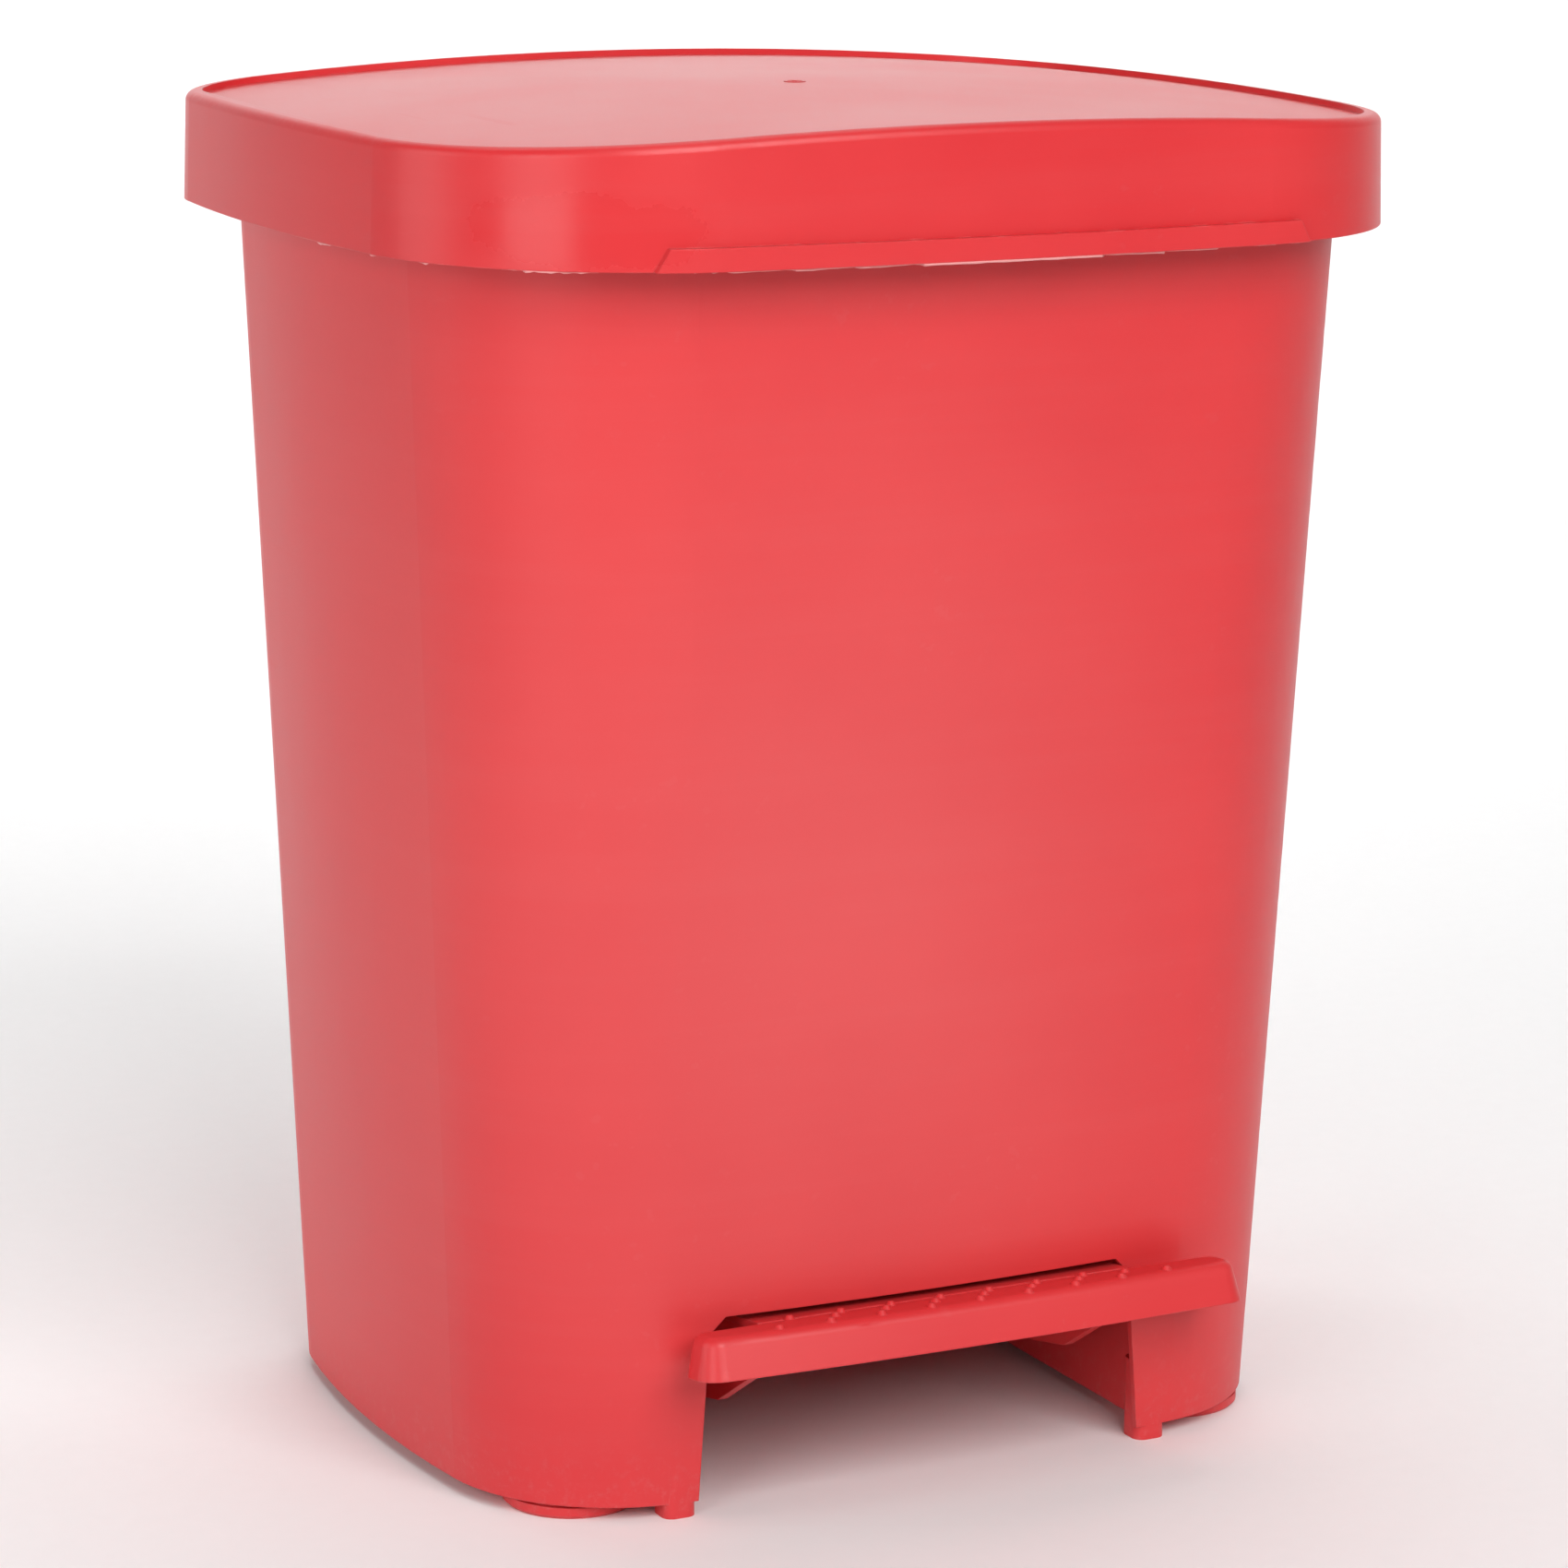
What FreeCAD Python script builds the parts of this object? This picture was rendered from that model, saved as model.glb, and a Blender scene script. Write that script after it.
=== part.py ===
import FreeCAD, Part
import Sketcher
import PartDesign
import math
import os
import re

# Step-on waste bin: tapered shell, hinged domed lid, front pedal, and a push rod
# in a groove in the back that turns a crank on the lid.
# Millimetres.  Origin on the floor under the middle of the bin, +Z up, front to -Y.

DIMS = {
    # body shell: upper outline, and how far the foot of the wall sits inside it
    "body_top_z": 483.5, "body_bottom_z": 5.5, "wall_thick": 2.6, "floor_thick": 2.6,
    "bodyup_half_width": 187.2, "bodyup_front": 144.2, "bodyup_back": 146.4,
    "taper_side": 21.5, "taper_front": 23.7, "taper_back": 16.4,
    "bodyup_bow_front": 1350.0, "bodyup_bow_side": 560.0, "bodyup_bow_back": 2400.0,
    "bodyup_corner_front": 84.0, "bodyup_corner_back": 52.0,
    "bodylo_bow_front": 1250.0, "bodylo_bow_side": 500.0, "bodylo_bow_back": 2400.0,
    "bodylo_corner_front": 66.0, "bodylo_corner_back": 46.0,
    # rolled rim that the lid covers
    "rim_height": 5.5, "rim_out_side": 3.2, "rim_out_front": 8.8, "rim_out_back": 1.8,
    "rim_corner_front": 88.0, "rim_corner_back": 54.0,
    # front cut-out and the leg ends beside it
    "cut_left_top": 91.0, "cut_left_bottom": 93.5, "cut_right_top": 80.5,
    "cut_right_bottom": 88.4, "cut_top_z": 74.0, "cut_chamfer": 6.0,
    "leg_width": 12.6, "leg_depth": 12.5, "leg_setback": 3.5, "leg_round": 4.0,
    "leg_top_z": 30.0,
    # feet, set in from the foot of the wall
    "foot_radius": 25.0, "foot_neck_radius": 23.4, "foot_neck_height": 1.2,
    "foot_edge": 1.2, "foot_stem_radius": 5.0,
    "foot_in_side": 40.0, "foot_in_front": 41.5, "foot_in_back": 48.0,
    # hinge
    "hinge_drop": 37.5, "hinge_gap": 0.4, "hinge_pin_radius": 2.5, "run_gap": 0.05,
    "eye_wall": 2.7, "knuckle_x": 60.0, "knuckle_half": 5.5,
    "lug_thick": 8.0, "lug_gap": 1.2, "lug_wall": 4.0, "pin_end": 1.3,
    "cap_wall": 2.2, "cap_length": 3.0,
    # crank on the lid
    "crank_radius": 30.0, "lid_swing": 75.0, "crank_pin_radius": 2.5,
    "cheek_thick": 4.0, "cheek_gap": 2.0, "crank_boss_wall": 2.5, "crank_arm_half": 3.6,
    "crank_plate_rise": 7.0, "crank_plate_height": 22.0, "crank_plate_thick": 3.0,
    "pad_depth": 6.75, "pad_half_width": 17.0, "crank_screw_x": 12.5, "crank_head_inset": 3.55,
    "small_cap_wall": 1.8, "small_cap_length": 2.0, "small_pin_end": 1.0,
    # pedal lever
    "pivot_y": 0.0, "pivot_z": 52.0, "lever_room": 26.0, "axle_radius": 4.0,
    "axle_cap_wall": 3.0, "axle_end": 3.0, "axle_side_gap": 6.0,
    "arm_x": 72.0, "arm_thick": 4.0, "arm_boss_wall": 6.0, "arm_low": 19.0,
    "keel_front": 89.0, "keel_length": 24.0, "keel_low": 32.5, "keel_fall": 1.5,
    "arm_rear_half": 7.0, "axle_lug_gap": 3.0, "axle_lug_thick": 5.0, "axle_lug_wall": 5.5,
    "tread_half_width": 110.8, "tread_shift": 5.0, "tread_gap": 5.0, "tread_depth": 27.5,
    "tread_height": 15.0,
    "tread_top": 1.6, "tread_draft": 12.0, "tread_bow": 1200.0, "tread_corner": 9.0,
    "tread_thick": 2.5, "tread_edge_round": 4.0, "tread_back_round": 9.0,
    "tread_inner_round": 2.0, "tread_skirt_low": 8.0,
    "tongue_gap": 4.5, "tongue_short": 33.8, "plate_back": 60.0, "prong_wall": 3.5,
    "bump_pitch": 19.8, "bump_radius": 2.3, "bump_height": 1.4,
    "bump_inset": 7.0, "bump_bow": 0.18,
    # push rod and its groove
    "rod_radius": 3.0, "rod_block_wall": 3.0, "head_margin": 6.8, "foot_margin": 6.4,
    "rod_end_gap": 0.25, "rod_grip": 10.0, "lock_pin_radius": 1.25,
    "rear_pin_radius": 2.5, "slot_gap": 0.12, "rear_arm_extra": 0.7,
    "groove_side_gap": 5.0, "groove_room": 13.1, "head_room": 3.0,
    "guide_height": 12.0, "guide_low_rise": 34.0, "guide_high_drop": 31.0,
    "cover_gap": 1.9, "cover_thick": 2.2, "cover_low_over": 20.0, "cover_high_over": 14.0,
    "screw_radius": 1.6, "screw_head_radius": 3.2, "screw_head_thick": 1.8,
    "cover_screw_x": 12.0, "cover_screw_length": 8.0,
    # lid: skirt outline outside the body, and the crowned top
    "lid_cover": 34.0, "lid_crown_rise": 15.9, "lid_side_rise": 28.5, "lid_wall": 2.5,
    "lid_over_side": 11.5, "lid_over_front": 18.65, "lid_over_back": 18.95,
    "lid_draft": 1.7, "lid_bow_front": 1350.0, "lid_bow_side": 900.0, "lid_bow_back": 2600.0,
    "lid_corner_front": 98.0, "lid_corner_back": 49.0,
    "crown_side_fall": 9.97, "crown_front_fall": 3.91, "crown_shift": 20.0,
    "dome_margin": 40.0, "dome_depth": 120.0, "dome_turn": 6.4,
    "lid_edge_round": 3.5, "bead_width": 5.5, "panel_drop": 2.4,
    "lip_left": 131.0, "lip_right": 122.0, "lip_height": 8.0, "lip_out": 2.5, "lip_slope": 4.5,
}


def derive_shells(d):
    """Foot of the wall, rim and lid outlines from the upper outline of the body."""
    for side, key in (("side", "half_width"), ("front", "front"), ("back", "back")):
        top = d[f"bodyup_{key}"]
        d[f"bodylo_{key}"] = top - d[f"taper_{side}"]
        d[f"rim_{key}"] = top + d[f"rim_out_{side}"]
        d[f"lidlo_{key}"] = top + d[f"lid_over_{side}"]
        d[f"lidup_{key}"] = d[f"lidlo_{key}"] - d["lid_draft"]
        d[f"rim_bow_{side}"] = d[f"bodyup_bow_{side}"]
        d[f"lidlo_bow_{side}"] = d[f"lid_bow_{side}"]
        d[f"lidup_bow_{side}"] = d[f"lid_bow_{side}"] - d["lid_draft"]
    for side in ("front", "back"):
        d[f"lidlo_corner_{side}"] = d[f"lid_corner_{side}"]
        d[f"lidup_corner_{side}"] = d[f"lid_corner_{side}"] - d["lid_draft"]
    # the crown falls by the same named heights at the edges of any lid
    reach_x = d["lidup_half_width"]
    reach_y = d["lidup_front"] + d["crown_shift"]
    fall_x = d["crown_side_fall"]
    fall_y = d["crown_front_fall"]
    d["crown_radius_x"] = (reach_x ** 2 + fall_x ** 2) / (2 * fall_x)
    d["crown_radius_y"] = (reach_y ** 2 + fall_y ** 2) / (2 * fall_y)
    d["lid_bottom_z"] = d["body_top_z"] - d["lid_cover"]
    d["lid_crown_z"] = d["body_top_z"] + d["lid_crown_rise"]
    d["lid_side_top_z"] = d["body_top_z"] + d["lid_side_rise"]
    d["dome_half_width"] = d["lidlo_half_width"] + d["dome_margin"]
    d["foot_x"] = d["bodylo_half_width"] - d["foot_in_side"]
    d["foot_front_y"] = d["bodylo_front"] - d["foot_in_front"]
    d["foot_back_y"] = d["bodylo_back"] - d["foot_in_back"]
    d["leg_front"] = d["bodylo_front"] - d["leg_setback"]
    d["leg_back"] = d["leg_front"] - d["leg_depth"]


def derive_hinge(d):
    """Hinge eyes and the crank, from the pins they hold and the wall they clear."""
    d["knuckle_radius"] = d["hinge_pin_radius"] + d["eye_wall"]
    d["crank_hub_radius"] = d["hinge_pin_radius"] + d["eye_wall"]
    d["crank_boss_radius"] = d["crank_pin_radius"] + d["crank_boss_wall"]
    d["lug_radius"] = d["hinge_pin_radius"] + d["lug_wall"]
    d["lug_end_x"] = d["knuckle_x"] + d["knuckle_half"] + d["lug_gap"] + d["lug_thick"]
    d["hinge_pin_half"] = d["lug_end_x"] + d["cap_length"] + d["pin_end"]
    d["hinge_y"] = d["bodyup_back"] + d["knuckle_radius"] + d["hinge_gap"]
    d["hinge_z"] = d["body_top_z"] - d["hinge_drop"]
    d["pad_y"] = d["lidlo_back"] - d["pad_depth"]
    d["crank_head_y"] = d["lidlo_back"] - d["crank_head_inset"]
    d["crank_plate_low_z"] = d["hinge_z"] + d["crank_plate_rise"]
    d["rod_block_half"] = d["rod_radius"] + d["rod_block_wall"]
    d["cheek_inner"] = d["rod_block_half"] + d["cheek_gap"]
    d["cheek_outer"] = d["cheek_inner"] + d["cheek_thick"]
    d["crank_pin_half"] = d["cheek_outer"] + d["small_cap_length"] + d["small_pin_end"]


def derive_linkage(d):
    """Travel of the rod and swing of the lever that open the lid fully."""
    half = math.radians(d["lid_swing"] / 2)
    d["rod_travel"] = 2 * d["crank_radius"] * math.sin(half)
    d["rod_y"] = d["hinge_y"] - d["crank_radius"] * (1 + math.cos(half)) / 2
    d["crank_rest_y"] = d["hinge_y"] - d["crank_radius"] * math.cos(half)
    d["crank_rest_z"] = d["hinge_z"] - d["rod_travel"] / 2
    d["crank_sway"] = d["crank_radius"] * (1 - math.cos(half)) / 2
    # the crank pin runs ahead of, then behind, a rod that moves in step with the lid
    turn = math.acos(math.sin(half) / half)
    d["yoke_lag"] = d["crank_radius"] * (math.sin(turn) - math.sin(half) * turn / half)
    d["rear_arm"] = d["rod_y"] - d["pivot_y"] + d["rear_arm_extra"]
    swing = math.asin(d["rod_travel"] / 2 / d["rear_arm"])
    d["pedal_half_swing"] = math.degrees(swing)
    d["rear_pin_rest_z"] = d["pivot_z"] - d["rod_travel"] / 2
    d["pin_sway"] = d["rear_arm"] * (1 - math.cos(swing)) / 2
    d["pin_mean_y"] = d["pivot_y"] + d["rear_arm"] * (1 + math.cos(swing)) / 2


def derive_lever(d):
    """Lever, axle and tunnel, from the outside of the body and from each other."""
    d["tunnel_height"] = d["pivot_z"] + d["lever_room"]
    d["arm_boss_radius"] = d["axle_radius"] + d["arm_boss_wall"]
    d["axle_lug_radius"] = d["axle_radius"] + d["axle_lug_wall"]
    d["axle_lug_x"] = (d["arm_x"] + d["arm_thick"] / 2 + d["axle_lug_gap"]
                       + d["axle_lug_thick"] / 2)
    d["axle_lug_end_x"] = d["axle_lug_x"] + d["axle_lug_thick"] / 2
    d["axle_half"] = d["axle_lug_end_x"] + d["cap_length"] + d["axle_end"]
    d["tunnel_half_width"] = d["axle_half"] + d["axle_side_gap"]
    d["tread_back"] = d["bodylo_front"] + d["tread_gap"]
    d["tread_front"] = d["tread_back"] + d["tread_depth"]
    d["tongue_half"] = d["cut_right_top"] - d["tongue_gap"]
    d["tongue_back"] = d["rear_arm"] - d["tongue_short"]
    d["prong_half"] = d["rear_pin_radius"] + d["prong_wall"]
    d["bump_front"] = d["tread_front"] - d["bump_inset"]


def derive_groove(d):
    """Groove, guides, cover and rod ends, from where the rod runs."""
    d["groove_half_width"] = d["crank_pin_half"] + d["groove_side_gap"]
    d["groove_floor_y"] = d["rod_y"] - d["groove_room"]
    d["groove_top_z"] = (d["crank_rest_z"] + d["head_margin"] + d["rod_travel"]
                         + d["head_room"])
    d["rod_top_z"] = (d["crank_rest_z"] - d["crank_pin_radius"] - d["yoke_lag"]
                      - d["slot_gap"] - d["rod_end_gap"] - 3.0)
    d["rod_foot_z"] = (d["rear_pin_rest_z"] + d["rear_pin_radius"] + d["slot_gap"]
                       + d["rod_end_gap"] + 3.0)
    d["guide_low_z"] = d["tunnel_height"] + d["guide_low_rise"]
    d["guide_high_z"] = d["rod_top_z"] - d["guide_height"] - d["guide_high_drop"]
    d["cover_y"] = d["rod_y"] + d["rod_radius"] + d["cover_gap"]
    d["cover_low_z"] = d["guide_low_z"] - d["cover_low_over"]
    d["cover_high_z"] = d["guide_high_z"] + d["guide_height"] + d["cover_high_over"]


def derive(d):
    """Sizes that follow from the driving ones."""
    derive_shells(d)
    derive_hinge(d)
    derive_linkage(d)
    derive_lever(d)
    derive_groove(d)
    return d


D = derive(dict(DIMS))
doc = FreeCAD.newDocument("step_on_bin")


def make_sheet():
    sheet = doc.addObject("Spreadsheet::Sheet", "Dims")
    for row, (name, value) in enumerate(D.items(), start=1):
        sheet.set(f"A{row}", name)
        sheet.set(f"B{row}", repr(float(value)))
        sheet.setAlias(f"B{row}", name)
    doc.recompute()
    return sheet


def ex(text):
    """Turn size names into references to the sheet."""
    return re.sub(r"\b([a-z]+_[a-z_]*[a-z])\b", r"Dims.\1", str(text))


def bind(obj, prop, text):
    obj.setExpression(prop, ex(text))


def place(obj, x=None, y=None, z=None):
    for axis, text in (("x", x), ("y", y), ("z", z)):
        if text is not None:
            bind(obj, f"Placement.Base.{axis}", text)


def box(name, x0, x1, y0, y1, z0, z1):
    """Box between three pairs of size texts."""
    obj = doc.addObject("Part::Box", name)
    bind(obj, "Length", f"({x1}) - ({x0})")
    bind(obj, "Width", f"({y1}) - ({y0})")
    bind(obj, "Height", f"({z1}) - ({z0})")
    place(obj, x0, y0, z0)
    return obj


TURN = {
    "x": FreeCAD.Rotation(FreeCAD.Vector(0, 1, 0), 90),
    "y": FreeCAD.Rotation(FreeCAD.Vector(1, 0, 0), -90),
    "z": FreeCAD.Rotation(),
}


def rod(name, axis, radius, length, x, y, z):
    """Cylinder that starts at x, y, z and runs along the axis."""
    obj = doc.addObject("Part::Cylinder", name)
    bind(obj, "Radius", radius)
    bind(obj, "Height", length)
    obj.Placement = FreeCAD.Placement(FreeCAD.Vector(), TURN[axis])
    place(obj, x, y, z)
    return obj


def fuse(name, items):
    obj = doc.addObject("Part::MultiFuse", name)
    obj.Shapes = items
    obj.Refine = True
    return obj


def cut(name, base, tool):
    obj = doc.addObject("Part::Cut", name)
    obj.Base = base
    obj.Tool = tool
    obj.Refine = True
    return obj


def common(name, base, tool):
    obj = doc.addObject("Part::Common", name)
    obj.Base = base
    obj.Tool = tool
    return obj


def group(name, items):
    """Separate solids kept together as one sub-part."""
    obj = doc.addObject("Part::Compound", name)
    obj.Links = items
    return obj


def origin_plane(body, role):
    for item in body.Origin.OriginFeatures:
        if item.Role == role:
            return item
    raise ValueError(role)


def sketch_on(body, name, role, height="0"):
    sketch = body.newObject("Sketcher::SketchObject", name)
    sketch.AttachmentSupport = [(origin_plane(body, role), "")]
    sketch.MapMode = "FlatFace"
    if height != "0":
        bind(sketch, "AttachmentOffset.Base.z", height)
    return sketch


def meet(c1, r1, c2, r2, want_x, want_y):
    """Point where two circles cross, in the wanted quadrant."""
    dx, dy = c2[0] - c1[0], c2[1] - c1[1]
    dist = math.hypot(dx, dy)
    along = (r1 * r1 - r2 * r2 + dist * dist) / (2 * dist)
    across = math.sqrt(r1 * r1 - along * along)
    for sign in (1, -1):
        x = c1[0] + (along * dx - sign * across * dy) / dist
        y = c1[1] + (along * dy + sign * across * dx) / dist
        if x * want_x > 0 and (y - c1[1]) * want_y > 0:
            return x, y
    raise ValueError("the bows do not meet")


def outline(body, name, part, height, inset="0"):
    """Closed outline of four bowed sides and four round corners, held by the sheet."""
    shrink = number(inset)
    half_width = D[f"{part}_half_width"] - shrink
    front = D[f"{part}_front"] - shrink
    back = D[f"{part}_back"] - shrink
    bows = {key: D[f"{part}_bow_{key}"] - shrink for key in ("front", "side", "back")}
    corner = {key: D[f"{part}_corner_{key}"] - shrink for key in ("front", "back")}
    mid_f = (0.0, bows["front"] - front)
    mid_b = (0.0, back - bows["back"])
    mid_r = (half_width - bows["side"], 0.0)
    mid_l = (-mid_r[0], 0.0)
    fr = meet(mid_f, bows["front"] - corner["front"], mid_r, bows["side"] - corner["front"], 1, -1)
    br = meet(mid_b, bows["back"] - corner["back"], mid_r, bows["side"] - corner["back"], 1, 1)
    fl = (-fr[0], fr[1])
    bl = (-br[0], br[1])

    def aim(start, end):
        return math.atan2(end[1] - start[1], end[0] - start[0])

    arcs = [
        (mid_f, bows["front"], aim(mid_f, fl), aim(mid_f, fr)),
        (fr, corner["front"], aim(mid_f, fr), aim(mid_r, fr)),
        (mid_r, bows["side"], aim(mid_r, fr), aim(mid_r, br)),
        (br, corner["back"], aim(mid_r, br), aim(mid_b, br)),
        (mid_b, bows["back"], aim(mid_b, br), aim(mid_b, bl)),
        (bl, corner["back"], aim(mid_b, bl), aim(mid_l, bl)),
        (mid_l, bows["side"], aim(mid_l, bl), aim(mid_l, fl) + 2 * math.pi),
        (fl, corner["front"], aim(mid_l, fl), aim(mid_f, fl)),
    ]
    sketch = sketch_on(body, name, "XY_Plane", height)
    up = FreeCAD.Vector(0, 0, 1)
    for centre, radius, start, end in arcs:
        circle = Part.Circle(FreeCAD.Vector(centre[0], centre[1], 0), up, radius)
        sketch.addGeometry(Part.ArcOfCircle(circle, start, end), False)
    for index in range(8):
        sketch.addConstraint(Sketcher.Constraint("Tangent", index, 2, (index + 1) % 8, 1))
    keys = ["bow_front", "corner_front", "bow_side", "corner_back",
            "bow_back", "corner_back", "bow_side", "corner_front"]
    for index, key in enumerate(keys):
        row = sketch.addConstraint(Sketcher.Constraint("Radius", index, arcs[index][1]))
        sketch.setExpression(f"Constraints[{row}]", ex(f"{part}_{key} - ({inset})"))
    sketch.addConstraint(Sketcher.Constraint("PointOnObject", 0, 3, -2))
    sketch.addConstraint(Sketcher.Constraint("PointOnObject", 4, 3, -2))
    sketch.addConstraint(Sketcher.Constraint("PointOnObject", 2, 3, -1))
    sketch.addConstraint(Sketcher.Constraint("PointOnObject", 6, 3, -1))
    row = sketch.addConstraint(Sketcher.Constraint("DistanceY", -1, 1, 0, 3, mid_f[1]))
    sketch.setExpression(f"Constraints[{row}]", ex(f"{part}_bow_front - {part}_front"))
    row = sketch.addConstraint(Sketcher.Constraint("DistanceY", 4, 3, -1, 1, -mid_b[1]))
    sketch.setExpression(f"Constraints[{row}]", ex(f"{part}_bow_back - {part}_back"))
    row = sketch.addConstraint(Sketcher.Constraint("DistanceX", 2, 3, -1, 1, -mid_r[0]))
    sketch.setExpression(f"Constraints[{row}]", ex(f"{part}_bow_side - {part}_half_width"))
    row = sketch.addConstraint(Sketcher.Constraint("DistanceX", -1, 1, 6, 3, mid_l[0]))
    sketch.setExpression(f"Constraints[{row}]", ex(f"{part}_bow_side - {part}_half_width"))
    return sketch


def tapered(name, low, low_z, high, high_z, inset="0"):
    """Solid lofted between two outlines."""
    body = doc.addObject("PartDesign::Body", name)
    first = outline(body, f"{name}_low", low, low_z, inset)
    second = outline(body, f"{name}_high", high, high_z, inset)
    loft = body.newObject("PartDesign::AdditiveLoft", f"{name}_loft")
    loft.Profile = first
    loft.Sections = [second]
    loft.Ruled = True
    body.Tip = loft
    doc.recompute()
    return body


def upright(name, part, low_z, high_z, inset="0"):
    """Straight solid on one outline."""
    body = doc.addObject("PartDesign::Body", name)
    profile = outline(body, f"{name}_outline", part, low_z, inset)
    pad = body.newObject("PartDesign::Pad", f"{name}_pad")
    pad.Profile = profile
    bind(pad, "Length", f"({high_z}) - ({low_z})")
    body.Tip = pad
    doc.recompute()
    return body


def polygon(body, name, role, points, height="0"):
    """Closed straight-sided sketch; each point is a pair of size texts with their values."""
    sketch = sketch_on(body, name, role, height)
    values = [(number(x), number(y)) for x, y in points]
    count = len(points)
    for index in range(count):
        here = FreeCAD.Vector(*values[index], 0)
        after = FreeCAD.Vector(*values[(index + 1) % count], 0)
        sketch.addGeometry(Part.LineSegment(here, after), False)
    for index in range(count):
        sketch.addConstraint(Sketcher.Constraint("Coincident", index, 2, (index + 1) % count, 1))
    for index, (x, y) in enumerate(points):
        for kind, axis, text, value in (("DistanceX", -2, x, values[index][0]),
                                        ("DistanceY", -1, y, values[index][1])):
            if value == 0:
                sketch.addConstraint(Sketcher.Constraint("PointOnObject", index, 1, axis))
            elif value > 0:
                row = sketch.addConstraint(Sketcher.Constraint(kind, -1, 1, index, 1, value))
                sketch.setExpression(f"Constraints[{row}]", ex(text))
            else:
                row = sketch.addConstraint(Sketcher.Constraint(kind, index, 1, -1, 1, -value))
                sketch.setExpression(f"Constraints[{row}]", ex(f"-({text})"))
    return sketch


def number(text):
    """Value of a sum of sizes and plain numbers, such as 'arm_x + arm_thick - 2'."""
    total, sign = 0.0, 1.0
    for token in str(text).split():
        if token in ("+", "-"):
            sign = 1.0 if token == "+" else -1.0
            continue
        lead = -1.0 if token.startswith("-") else 1.0
        name = token.lstrip("-")
        total += sign * lead * (D[name] if name in D else float(name))
    return total


def padded(name, role, points, length, height="0"):
    """Straight-sided sketch padded along the normal of its plane."""
    body = doc.addObject("PartDesign::Body", name)
    sketch = polygon(body, f"{name}_sketch", role, points, height)
    pad = body.newObject("PartDesign::Pad", f"{name}_pad")
    pad.Profile = sketch
    bind(pad, "Length", length)
    body.Tip = pad
    doc.recompute()
    return body


def rounded(name, base, radius, want):
    """Fillet on the edges of a finished shape that the test picks."""
    doc.recompute()
    obj = doc.addObject("Part::Fillet", name)
    obj.Base = base
    edges = []
    for index, edge in enumerate(base.Shape.Edges, start=1):
        if want(edge):
            edges.append((index, D[radius], D[radius]))
    obj.Edges = edges
    doc.recompute()
    return obj


# ---------------------------------------------------------------- body

def upright_edge(edge):
    return abs(edge.tangentAt(edge.FirstParameter).z) > 0.99 and edge.BoundBox.ZLength > 5


def legs():
    """Two round-cornered legs that carry on below the edges of the front cut-out."""
    out = []
    for side, low, high in (("left", "-cut_left_bottom - leg_width", "-cut_left_bottom"),
                            ("right", "cut_right_bottom", "cut_right_bottom + leg_width")):
        column = box(f"leg_{side}", low, high, "-leg_front", "-leg_back", "0", "leg_top_z")
        out.append(rounded(f"leg_round_{side}", column, "leg_round", upright_edge))
    return out


def hinge_lugs():
    """Four lugs on the back wall, one each side of each lid knuckle."""
    inner = "knuckle_x - knuckle_half - lug_gap - lug_thick"
    outer = "knuckle_x + knuckle_half + lug_gap"
    starts = [inner, outer, f"-({inner}) - lug_thick", f"-({outer}) - lug_thick"]
    out = []
    for index, start in enumerate(starts):
        block = box(f"lug_block_{index}", start, f"{start} + lug_thick",
                    "bodyup_back - wall_thick - 1", "hinge_y",
                    "hinge_z - lug_radius", "hinge_z + lug_radius")
        nose = rod(f"lug_nose_{index}", "x", "lug_radius", "lug_thick",
                   start, "hinge_y", "hinge_z")
        out += [block, nose]
    return out


def axle_ears():
    """Two ears that hang from the roof of the tunnel and hold the pedal axle."""
    out = []
    for index, centre in enumerate(("-axle_lug_x", "axle_lug_x")):
        start = f"{centre} - axle_lug_thick / 2"
        ear = box(f"axle_ear_{index}", start, f"{start} + axle_lug_thick",
                  "pivot_y - axle_lug_radius", "pivot_y + axle_lug_radius",
                  "pivot_z", "tunnel_height + 1")
        tip = rod(f"axle_tip_{index}", "x", "axle_lug_radius", "axle_lug_thick",
                  start, "pivot_y", "pivot_z")
        out += [ear, tip]
    return out


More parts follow.
